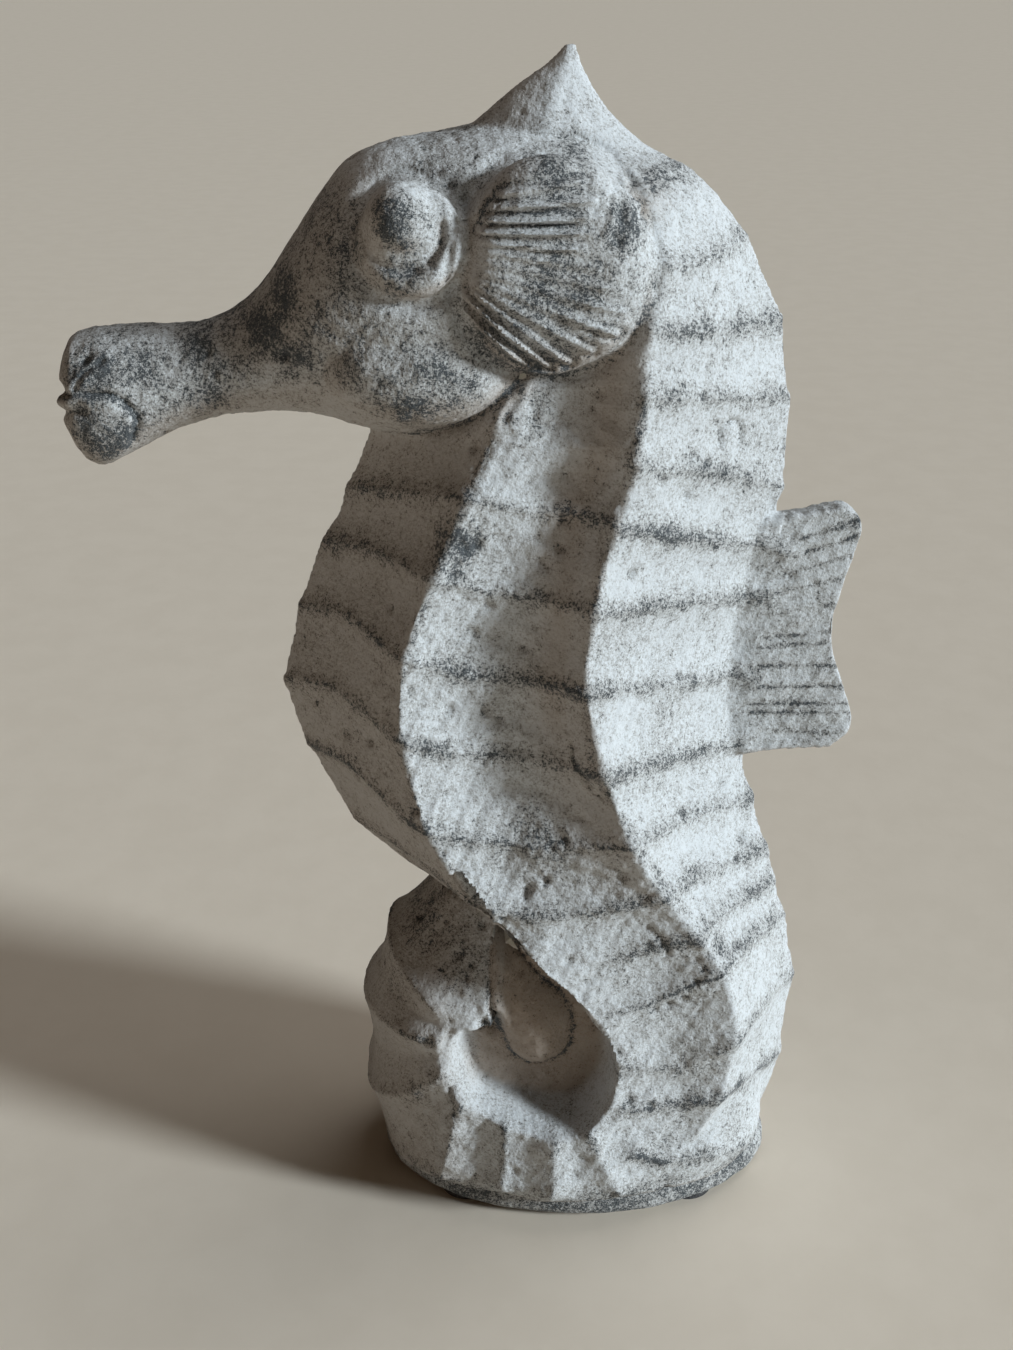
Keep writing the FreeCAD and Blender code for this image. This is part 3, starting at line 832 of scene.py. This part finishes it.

# %% [markdown]
# ## Where the dark wash stays
#
# The limewash was brushed over the dark wash by hand. It misses the crest lines of the rings, the
# grooves, the pits, and whole cloudy patches on the snout, the cheek, the fan, the coil and the lower
# flank. Each point of the surface keeps one number for this, and the material turns it into specks.
# A second number is painted shade: how much warm brown is painted into the coil's hollow, the crease under
# the jaw, the flank beside the rear ridge and faces turned away from the window light.

# %% Work out the dark wash
# middle of each cloud in the side view, its radius and its strength
CLOUDS = [
    (-129, 251, 12, 0.95), (-127, 238, 11, 0.95), (-117, 250, 15, 0.9), (-102, 254, 15, 0.9),
    (-88, 262, 17, 0.85), (-72, 272, 18, 0.8), (-66, 290, 13, 0.65), (-78, 257, 13, 0.75),
    (-44, 256, 19, 0.8), (-57, 262, 14, 0.75), (-49, 293, 9, 1.0), (-49, 281, 8, 0.85), (-37, 306, 13, 0.4),
    (-12, 282, 24, 0.58), (3, 292, 9, 0.85), (-12, 303, 11, 0.9), (-25, 266, 10, 0.8), (-14, 260, 9, 0.85),
    (6, 276, 12, 0.4), (-48, 94, 16, 0.68), (-38, 82, 10, 0.5), (-56, 74, 10, 0.35), (-51, 40, 6, 0.5),
    (30, 91, 15, 0.28), (18, 77, 13, 0.28), (30, 54, 13, 0.28), (22, 30, 12, 0.3), (-14, 124, 15, 0.4),
    (-35, 211, 10, 0.85), (-19, 246, 9, 0.62), (-22, 173, 14, 0.2), (10, 215, 10, 0.2), (-78, 176, 14, 0.15),
]
wash = 0.16 * lumps(26, 61) + 0.1 * lumps(11, 62)
for x, z, radius, strength in CLOUDS:
    wash = np.maximum(wash, strength * patch(x, z, radius * 1.3) * (0.72 + 0.5 * lumps(6, 63)))

on_flank = flankness * (1.0 - facing_back)
ring_band = bell(ring_distance + 0.9 * lumps(5, 64), 3.2)
ring_band = ring_band * (0.24 + 0.26 * on_flank + 0.22 * facing_back + 0.3 * lumps(13, 65))
ring_band = ring_band * ring_zone * ring_keep
ring_line = bell(ring_distance, 1.0) * ring_zone * ring_keep
ring_line = ring_line * (0.24 + 0.34 * on_flank + 0.45 * lumps(9, 66))
spoke_band = bell(spoke_distance, 1.5) * spoke_zone * (0.42 + 0.4 * lumps(9, 72))
edge_band = bell(front_ridge + 1.2, 1.9) * (0.75 + 0.3 * lumps(4, 67)) * (1 - head_only)
rear_band = bell(rear_ridge, 1.6) * (0.35 + 0.3 * lumps(6, 68)) * (1 - fan_zone)
groove = bell(jaw, 1.0) * ramp(points[:, 0], -60, -52) + bell(crack, 0.8)
groove = groove + 1.2 * bell(drop_edge, 1.2) * flankness
groove = groove + (0.9 * bell(hook, 1.8) + 0.6 * bell(tip_line, 1.2)) * flankness
groove = groove + 0.7 * bell(mouth, 1.2)
groove = groove + 0.7 * bell(fan_edge + 0.8, 1.2) * flankness * fan_below
groove = groove + 0.8 * bell(lip, 0.9) + 0.7 * bell(eye_fold, 1.2) * flankness
rib_dark = rib_strength * ramp(rib_distance, 0.6, 1.3) * 0.62
fin_dark = fin_zone * (0.66 * ray_groove - 0.1 + 0.25 * lumps(8, 69) + 0.14 * lumps(3, 71))
foot_dark = ramp(points[:, 2], 20, 12) * (0.36 + 0.3 * lumps(8, 70))

for layer in (ring_band, ring_line, spoke_band, edge_band, rear_band, rib_dark, fin_dark, foot_dark):
    wash = np.maximum(wash, layer)
wash = wash + 0.6 * groove + 0.34 * pit_mark
wash = np.clip(wash, -0.3, 1.0)

# Painted shade: warm brown goes where the window light from the right does not reach, in the coil's hollow
# and drop, under the jaw, beside the rear ridge and on faces turned towards the snout or down.
painted_shade_mask = np.maximum(ramp(hollow_signed, 0.5, 5.0), 0.75 * in_drop) * ramp(points[:, 0], -40, -30)
painted_shade_mask = np.maximum(painted_shade_mask, 0.7 * bell(jaw, 4.0) * ramp(points[:, 0], -64, -50))
painted_shade_mask = painted_shade_mask * flankness
rear_flank_shade = bell(rear_ridge - 8.0, 7.0) * on_flank * ramp(points[:, 2], 130, 170)
away_from_light = np.maximum(ramp(-normals[:, 0], 0.1, 0.6), ramp(-normals[:, 2], 0.15, 0.6))
painted_shade_mask = np.maximum(painted_shade_mask, np.maximum(0.7 * rear_flank_shade * (1 - fan_zone), 0.55 * away_from_light))

# dark_wash is the casting's own dark wash; the second attribute is painted shade, not a colour of the stone.
for name, field in (("dark_wash", wash), ("warm_painted_shade", painted_shade_mask)):
    attribute = figure.data.attributes.new(name, "FLOAT", "POINT")
    attribute.data.foreach_set("value", field.astype(np.float32))
    print(name, "mean", round(float(field.mean()), 3))

# %% [markdown]
# ## Cutting along the mould line
#
# In the design the casting has two half shells that meet on the middle plane, and a fin that is cast
# by itself. The finished skin is cut the same way. Every cut is flat and is closed by a flat face, so
# the visible halves are solid: the hollow, the fin's tenon and the mortar beds are in the frame only.

# %% Cut the figure into its pieces
FIN_CUT_LOW = (43.5, 138.0)
FIN_CUT_HIGH = (51.5, 216.0)


def close_cut(work, rim):
    """Fills the open rim of a cut with flat faces and shades the whole piece smooth."""
    caps = bmesh.ops.holes_fill(work, edges=rim)["faces"]
    bmesh.ops.triangulate(work, faces=[f for f in caps if len(f.verts) > 4])
    for face in work.faces:
        face.smooth = True


def cut_flat(mesh, spot, normal, keep_front):
    """Cuts a mesh by a plane, keeps the part in front of it or behind it, and closes the cut."""
    work = bmesh.new()
    work.from_mesh(mesh)
    everything = work.verts[:] + work.edges[:] + work.faces[:]
    cut = bmesh.ops.bisect_plane(
        work, geom=everything, plane_co=spot, plane_no=normal,
        clear_inner=keep_front, clear_outer=not keep_front)
    close_cut(work, [e for e in cut["geom_cut"] if isinstance(e, bmesh.types.BMEdge)])
    work.to_mesh(mesh)
    work.free()
    mesh.update()


def split_fin(piece):
    """Cuts the fin off the back along a slanted plane and returns it as an object of its own."""
    low = Vector(to_metres([FIN_CUT_LOW[0], 0, FIN_CUT_LOW[1]]))
    high = Vector(to_metres([FIN_CUT_HIGH[0], 0, FIN_CUT_HIGH[1]]))
    up = (high - low).normalized()
    normal = Vector((up.z, 0.0, -up.x))
    reach = 2.0 * MM
    work = bmesh.new()
    work.from_mesh(piece.data)
    bmesh.ops.bisect_plane(
        work, geom=work.verts[:] + work.edges[:] + work.faces[:], plane_co=low, plane_no=normal)
    beyond = []
    for face in work.faces:
        middle = face.calc_center_median()
        if (middle - low).dot(normal) > 0 and low.z - reach < middle.z < high.z + reach:
            beyond.append(face)
    taken = bmesh.ops.duplicate(work, geom=beyond)
    copies = [f for f in taken["geom"] if isinstance(f, bmesh.types.BMFace)]
    bmesh.ops.delete(work, geom=beyond, context="FACES")
    fin_work = work.copy()
    work.faces.index_update()
    fin_work.faces.index_update()
    fin_faces = set(f.index for f in copies)
    bmesh.ops.delete(work, geom=[f for f in work.faces if f.index in fin_faces], context="FACES")
    rest = [f for f in fin_work.faces if f.index not in fin_faces]
    bmesh.ops.delete(fin_work, geom=rest, context="FACES")
    pieces = []
    for part, name in ((work, piece.name), (fin_work, "back_fin")):
        close_cut(part, [e for e in part.edges if e.is_boundary])
        mesh = bpy.data.meshes.new(name)
        part.to_mesh(mesh)
        part.free()
        pieces.append((name, mesh))
    piece.data = pieces[0][1]
    made = bpy.data.objects.new("back_fin", pieces[1][1])
    bpy.context.scene.collection.objects.link(made)
    return made


back_fin = split_fin(figure)
left = figure
left.name = "left_half"
right = figure.copy()
right.data = figure.data.copy()
right.name = "right_half"
bpy.context.scene.collection.objects.link(right)
cut_flat(left.data, (0, 0, 0), (0, 1, 0), keep_front=False)
cut_flat(right.data, (0, 0, 0), (0, 1, 0), keep_front=True)
for piece in (left, right, back_fin):
    pick(piece)
    bpy.ops.object.shade_smooth_by_angle(angle=math.radians(70))
    faces = sum(len(p.vertices) - 2 for p in piece.data.polygons)
    print(piece.name, faces, "triangles")

# %% [markdown]
# ## The foot plate
#
# The plate that closes the hollow is a flat oval casting with a hand-rubbed edge. It starts as a
# stretched cylinder, its edge is rounded by a bevel, and then it is made uneven like the rest.

# %% Make the foot plate
PLATE_BEVEL = 3.2
PLATE_MARGIN = 0.8


def make_plate():
    deselect_all()
    centre = (plate_low + plate_high) / 2
    bpy.ops.mesh.primitive_cylinder_add(
        vertices=240, radius=1.0, depth=plate_high.z - plate_low.z, location=centre, end_fill_type="NGON")
    plate = bpy.context.object
    plate.name = "foot_plate"
    half_x, half_y = (plate_high.x - plate_low.x) / 2, (plate_high.y - plate_low.y) / 2
    plate.scale = (half_x - PLATE_MARGIN * MM, half_y - PLATE_MARGIN * MM, 1.0)
    bpy.ops.object.transform_apply(location=True, rotation=True, scale=True)
    edge = plate.modifiers.new("rubbed_edge", "BEVEL")
    edge.width = PLATE_BEVEL * MM
    edge.segments = 6
    edge.limit_method = "ANGLE"
    edge.angle_limit = math.radians(60)
    bpy.ops.object.modifier_apply(modifier=edge.name)
    return plate


plate = make_plate()
hole_low, hole_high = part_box("filler_bung")
print("plate:", len(plate.data.polygons), "faces")
print("bung:", round((hole_high.x - hole_low.x) / MM, 1), "mm across")

# %% Cut the recesses for the bung and the pads, and roughen the plate
BUNG_RECESS_RADIUS = 16.0
BUNG_RECESS_DEPTH = 2.1
BUNG_BORE_RADIUS = 12.1
PAD_RADIUS = 8.0
PAD_CLEARANCE = 0.05
PAD_RECESS_TOP = 3.0
PAD_HEADROOM = 0.02
PLATE_REACH = (59.5, 39.0)
SWELL_REACH = (60.0, 40.0)


def cutter(radius, x, y, low, high):
    bpy.ops.mesh.primitive_cylinder_add(
        vertices=64, radius=radius, depth=high - low, location=(x, y, (low + high) / 2))
    return bpy.context.object


def pad_centres():
    """The middle of each felt pad: the pads sit in the four corners of their node's box."""
    low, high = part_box("floor_pads")
    radius = PAD_RADIUS * MM
    return [(x, y) for x in (low.x + radius, high.x - radius) for y in (low.y + radius, high.y - radius)]


def carve_plate(tools):
    for tool in tools:
        pick(plate)
        cut = plate.modifiers.new("recess", "BOOLEAN")
        cut.operation = "DIFFERENCE"
        cut.solver = "EXACT"
        cut.object = tool
        bpy.ops.object.modifier_apply(modifier=cut.name)
        bpy.data.objects.remove(tool)


bung_x = (hole_low.x + hole_high.x) / 2
below, above = plate_low.z - 2 * MM, plate_high.z + 2 * MM
tools = [
    cutter(BUNG_RECESS_RADIUS * MM, bung_x, 0, below, plate_low.z + BUNG_RECESS_DEPTH * MM),
    cutter(BUNG_BORE_RADIUS * MM, bung_x, 0, below, above),
]
pad_top = PAD_RECESS_TOP * MM + PAD_HEADROOM * MM
pad_hole = (PAD_RADIUS + PAD_CLEARANCE) * MM
tools += [cutter(pad_hole, x, y, below, pad_top) for x, y in pad_centres()]
carve_plate(tools)
pick(plate)
bpy.ops.object.shade_smooth_by_angle(angle=math.radians(35))

spots = to_drawing(read_points(plate))
from_middle = np.hypot(
    (spots[:, 0] - FOOT_MIDDLE_IN_DRAWING) / PLATE_REACH[0], spots[:, 1] / PLATE_REACH[1])
rim = ramp(from_middle, 0.93, 1.0)
swell = 0.5 * lumps(13, 81, spots) + 0.35 * lumps(5, 82, spots) - 0.2
spots[:, 0] += rim * swell * (spots[:, 0] - FOOT_MIDDLE_IN_DRAWING) / SWELL_REACH[0]
spots[:, 1] += rim * swell * spots[:, 1] / SWELL_REACH[1]
write_points(plate, to_metres(spots))
plate_wash = plate.data.attributes.new("dark_wash", "FLOAT", "POINT")
plate_dark = 0.5 + 0.3 * lumps(9, 83, spots)
plate_wash.data.foreach_set("value", plate_dark.astype(np.float32))
print("foot plate:", len(plate.data.polygons), "faces")

# %% [markdown]
# ## The stone finish
#
# Three things make the finish: limewash that is nearly white and slightly cool, a charcoal wash under
# it, and a warm brown painted shade in sheltered places and on faces turned away from the window light.
# Noise at the scale of fine sand decides, speck by speck, which wash shows, and the numbers kept on the
# surface shift that decision.

# %% Node helpers
def new_material(name):
    material = bpy.data.materials.new(name)
    material.use_nodes = True
    tree = material.node_tree
    tree.nodes.clear()
    output = tree.nodes.new("ShaderNodeOutputMaterial")
    shader = tree.nodes.new("ShaderNodeBsdfPrincipled")
    tree.links.new(shader.outputs["BSDF"], output.inputs["Surface"])
    return material, tree, shader


def add_noise(tree, coords, scale, detail=3.0, roughness=0.6, distortion=0.0):
    """Noise on Object coordinates; scale is in features per metre."""
    node = tree.nodes.new("ShaderNodeTexNoise")
    node.inputs["Scale"].default_value = scale
    node.inputs["Detail"].default_value = detail
    node.inputs["Roughness"].default_value = roughness
    node.inputs["Distortion"].default_value = distortion
    tree.links.new(coords, node.inputs["Vector"])
    return node.outputs["Fac"]


def add_math(tree, operation, a, b):
    node = tree.nodes.new("ShaderNodeMath")
    node.operation = operation
    for socket, value in zip(node.inputs, (a, b)):
        if isinstance(value, (int, float)):
            socket.default_value = value
        else:
            tree.links.new(value, socket)
    return node.outputs[0]


def add_range(tree, value, low, high, out_low=0.0, out_high=1.0):
    node = tree.nodes.new("ShaderNodeMapRange")
    node.interpolation_type = "SMOOTHSTEP"
    for name, number in (("From Min", low), ("From Max", high), ("To Min", out_low), ("To Max", out_high)):
        node.inputs[name].default_value = number
    tree.links.new(value, node.inputs["Value"])
    return node.outputs["Result"]


def add_mix(tree, share, first, second):
    node = tree.nodes.new("ShaderNodeMix")
    node.data_type = "RGBA"
    tree.links.new(share, node.inputs["Factor"])
    for socket, value in ((node.inputs["A"], first), (node.inputs["B"], second)):
        if isinstance(value, tuple):
            socket.default_value = (*value, 1.0)
        else:
            tree.links.new(value, socket)
    return node.outputs["Result"]


def add_bump(tree, height, distance, strength=1.0, under=None):
    node = tree.nodes.new("ShaderNodeBump")
    node.inputs["Strength"].default_value = strength
    node.inputs["Distance"].default_value = distance
    tree.links.new(height, node.inputs["Height"])
    if under is not None:
        tree.links.new(under, node.inputs["Normal"])
    return node.outputs["Normal"]


# %% Mix the stone finish
LIMEWASH = (0.63, 0.665, 0.69)
THIN_LIMEWASH = (0.43, 0.435, 0.43)
# Warm brown painted shade: it stands in for shade where the window light does not reach, not for mortar
# showing through.
SHADE_BROWN = (0.34, 0.265, 0.20)
SHADE_PAINT_SHARE = 0.8
CHARCOAL = (0.035, 0.042, 0.05)
WORN_CHARCOAL = (0.11, 0.12, 0.125)
# grains per metre
SAND, GRAIN, CRUMB, CLOUD, PIMPLE = 1300.0, 3400.0, 420.0, 85.0, 900.0
# how much each noise weighs in a speck, and how far the kept number and the clouds shift it
SAND_WEIGHT, GRAIN_WEIGHT, CRUMB_WEIGHT = 0.45, 0.32, 0.23
WASH_PULL = 0.22
CLOUD_DRIFT = 0.16
DARK_FROM, DARK_TO = 0.57, 0.69
THIN_FROM, THIN_TO = 0.46, 0.60
CHALKY, SMOOTHER = 0.93, 0.8


def stone_finish(name, extra_dark=0.0):
    material, tree, shader = new_material(name)
    coords = tree.nodes.new("ShaderNodeTexCoord").outputs["Object"]
    kept = tree.nodes.new("ShaderNodeAttribute")
    kept.attribute_name = "dark_wash"
    wash_value = kept.outputs["Fac"]

    sand = add_noise(tree, coords, SAND, 2.0, 0.65)
    grain = add_noise(tree, coords, GRAIN, 1.0, 0.6)
    crumb = add_noise(tree, coords, CRUMB, 2.0, 0.6)
    cloud = add_noise(tree, coords, CLOUD, 3.0, 0.6)

    sand_part = add_math(tree, "MULTIPLY", sand, SAND_WEIGHT)
    fine_speck = add_math(tree, "ADD", sand_part, add_math(tree, "MULTIPLY", grain, GRAIN_WEIGHT))
    speck = add_math(tree, "ADD", fine_speck, add_math(tree, "MULTIPLY", crumb, CRUMB_WEIGHT))
    pull = add_math(tree, "MULTIPLY", wash_value, WASH_PULL)
    drift = add_math(tree, "MULTIPLY", add_math(tree, "SUBTRACT", cloud, 0.5), CLOUD_DRIFT)
    pulled = add_math(tree, "ADD", speck, pull)
    level = add_math(tree, "ADD", pulled, add_math(tree, "ADD", drift, extra_dark))
    dark_share = add_range(tree, level, DARK_FROM, DARK_TO)
    thin_share = add_range(tree, level, THIN_FROM, THIN_TO)

    # Painted shade: the kept mask mixes warm brown into the pale wash where shade falls.
    shade_attribute = tree.nodes.new("ShaderNodeAttribute")
    shade_attribute.attribute_name = "warm_painted_shade"
    shade_paint_amount = add_math(tree, "MULTIPLY", shade_attribute.outputs["Fac"], SHADE_PAINT_SHARE)
    pale = add_mix(tree, thin_share, LIMEWASH, THIN_LIMEWASH)
    pale = add_mix(tree, shade_paint_amount, pale, SHADE_BROWN)
    charcoal = add_mix(tree, add_range(tree, grain, 0.35, 0.7), WORN_CHARCOAL, CHARCOAL)
    colour = add_mix(tree, dark_share, pale, charcoal)
    tree.links.new(colour, shader.inputs["Base Color"])

    tree.links.new(add_range(tree, dark_share, 0.0, 1.0, CHALKY, SMOOTHER), shader.inputs["Roughness"])
    shader.inputs["Specular IOR Level"].default_value = 0.25
    coarse = add_bump(tree, add_noise(tree, coords, PIMPLE, 2.0, 0.5), 0.0008, 0.4)
    fine = add_bump(tree, sand, 0.0004, 0.35, under=coarse)
    tree.links.new(fine, shader.inputs["Normal"])
    return material


stone = stone_finish("cast_stone")
fin_stone = stone_finish("cast_stone_fin", 0.012)
plate_stone = stone_finish("cast_stone_plate", 0.01)
print("finishes:", stone.name, fin_stone.name, plate_stone.name)

# %% [markdown]
# ## Finishes of the small pieces
#
# The bung is black rubber with fine mould grain, the pads are pressed wool felt, and the mortar beds
# are plain grey cement. Pieces that are closed in get their finishes too, though they lie inside the
# solid halves and show only when those are hidden.

# %% Plain finishes
def grainy(name, low_colour, high_colour, scale, roughness, bump_distance, metallic=0.0):
    """A two-tone noisy finish with a bump of the same noise."""
    material, tree, shader = new_material(name)
    coords = tree.nodes.new("ShaderNodeTexCoord").outputs["Object"]
    field = add_noise(tree, coords, scale, 4.0, 0.6)
    colour = add_mix(tree, add_range(tree, field, 0.35, 0.65), low_colour, high_colour)
    tree.links.new(colour, shader.inputs["Base Color"])
    tree.links.new(add_bump(tree, field, bump_distance), shader.inputs["Normal"])
    shader.inputs["Roughness"].default_value = roughness
    shader.inputs["Metallic"].default_value = metallic
    return material


mortar = grainy("cement_mortar", (0.3, 0.3, 0.29), (0.5, 0.49, 0.47), 900.0, 0.95, 0.0004)
glass_mat = grainy("glass_fibre_mat", (0.6, 0.58, 0.5), (0.82, 0.8, 0.74), 500.0, 0.55, 0.0005)
zinc = grainy("galvanised_wire", (0.42, 0.43, 0.44), (0.62, 0.63, 0.64), 260.0, 0.42, 0.0001, 1.0)
sand_fill = grainy("dry_sand", (0.42, 0.34, 0.23), (0.72, 0.62, 0.46), 1500.0, 0.95, 0.0006)
rubber = grainy("bung_rubber", (0.018, 0.018, 0.018), (0.035, 0.035, 0.036), 1800.0, 0.62, 0.0001)
felt = grainy("pressed_felt", (0.03, 0.03, 0.032), (0.09, 0.09, 0.095), 1300.0, 1.0, 0.0005)

NODE_FINISHES = (
    (mortar, ("seam_mortar", "base_mortar", "fin_mortar")),
    (glass_mat, ("fibre_lining_left", "fibre_lining_right")),
    (zinc, ("fin_pins", "snout_rod")),
    (sand_fill, ("ballast_sand",)),
    (rubber, ("filler_bung",)),
    (felt, ("floor_pads",)),
)
for finish, node_names in NODE_FINISHES:
    for node_name in node_names:
        node_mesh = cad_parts[node_name].data
        node_mesh.materials.clear()
        node_mesh.materials.append(finish)
    print(finish.name, "on", node_names)

# %% Put the pieces on the frame
for piece, finish, slot_name, stands_for in (
    (left, stone, "cast_stone", ("shell_left",)),
    (right, stone, "cast_stone", ("shell_right", "seam_mortar")),
    (back_fin, fin_stone, "cast_stone_fin", ("dorsal_fin", "fin_mortar")),
    (plate, plate_stone, "cast_stone_base", ("base_plate", "base_mortar")),
):
    piece.data.materials.clear()
    piece.data.materials.append(finish)
    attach(piece, "figure")
    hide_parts(*stands_for)
    print(piece.name, "stands for", stands_for)

# %% [markdown]
# ## Floor, light and camera
#
# The figure stands on a plain pale floor. One large cool window light rakes it from the right, which
# brings out every ring, and the far side gets only the weak warm light that a floor throws back.

# %% Floor
deselect_all()
bpy.ops.mesh.primitive_plane_add(size=24.0, location=(0, 0, 0))
floor = bpy.context.object
floor.name = "floor"
pale_floor = grainy("pale_floor", (0.80, 0.72, 0.61), (0.82, 0.74, 0.63), 40.0, 0.8, 0.0002)
floor.data.materials.append(pale_floor)


# %% Lights
WINDOW_STRENGTH, CEILING_STRENGTH, ROOM_STRENGTH, AIR_STRENGTH = 3.75, 0.6, 0.9, 0.03


def aim(lamp, toward):
    lamp.rotation_euler = Vector(toward).to_track_quat("-Z", "Y").to_euler()


def add_light(name, kind, colour, strength):
    light = bpy.data.lights.new(name, kind)
    light.color = colour
    light.energy = strength
    lamp = bpy.data.objects.new(name, light)
    bpy.context.scene.collection.objects.link(lamp)
    return lamp


window = add_light("window", "SUN", (0.87, 0.95, 1.0), WINDOW_STRENGTH)
window.data.angle = math.radians(11.0)
aim(window, (-0.87, 0.335, -0.31))

ceiling = add_light("ceiling", "SUN", (1.0, 0.98, 0.95), CEILING_STRENGTH)
ceiling.data.angle = math.radians(40.0)
aim(ceiling, (-0.35, -0.22, -0.9))

room = add_light("room", "AREA", (1.0, 0.55, 0.28), ROOM_STRENGTH)
room.data.shape = "DISK"
room.data.size = 1.4
room.location = (-1.3, -0.9, 0.35)
aim(room, Vector((0.0, 0.0, 0.15)) - room.location)

world = bpy.data.worlds.new("room_air")
world.use_nodes = True
background = world.node_tree.nodes["Background"]
background.inputs["Color"].default_value = (1.0, 0.78, 0.58, 1.0)
background.inputs["Strength"].default_value = AIR_STRENGTH
bpy.context.scene.world = world
bpy.context.scene.view_settings.view_transform = "Standard"

# %% Camera
EYE_PLACE = (-23.6, -451.7, 365.1)
EYE_TILT = 24.16
LENS = 46.67
FILM_LONG_SIDE = 36.0

view = bpy.data.cameras.new("camera")
view.sensor_fit = "VERTICAL"
view.sensor_height = FILM_LONG_SIDE
view.lens = LENS
view.clip_start = 0.01
camera = bpy.data.objects.new("camera", view)
camera.location = to_metres(EYE_PLACE)
camera.rotation_euler = (math.radians(90.0 - EYE_TILT), 0.0, 0.0)
bpy.context.scene.collection.objects.link(camera)
bpy.context.scene.camera = camera
print("camera at", [round(c, 3) for c in camera.location])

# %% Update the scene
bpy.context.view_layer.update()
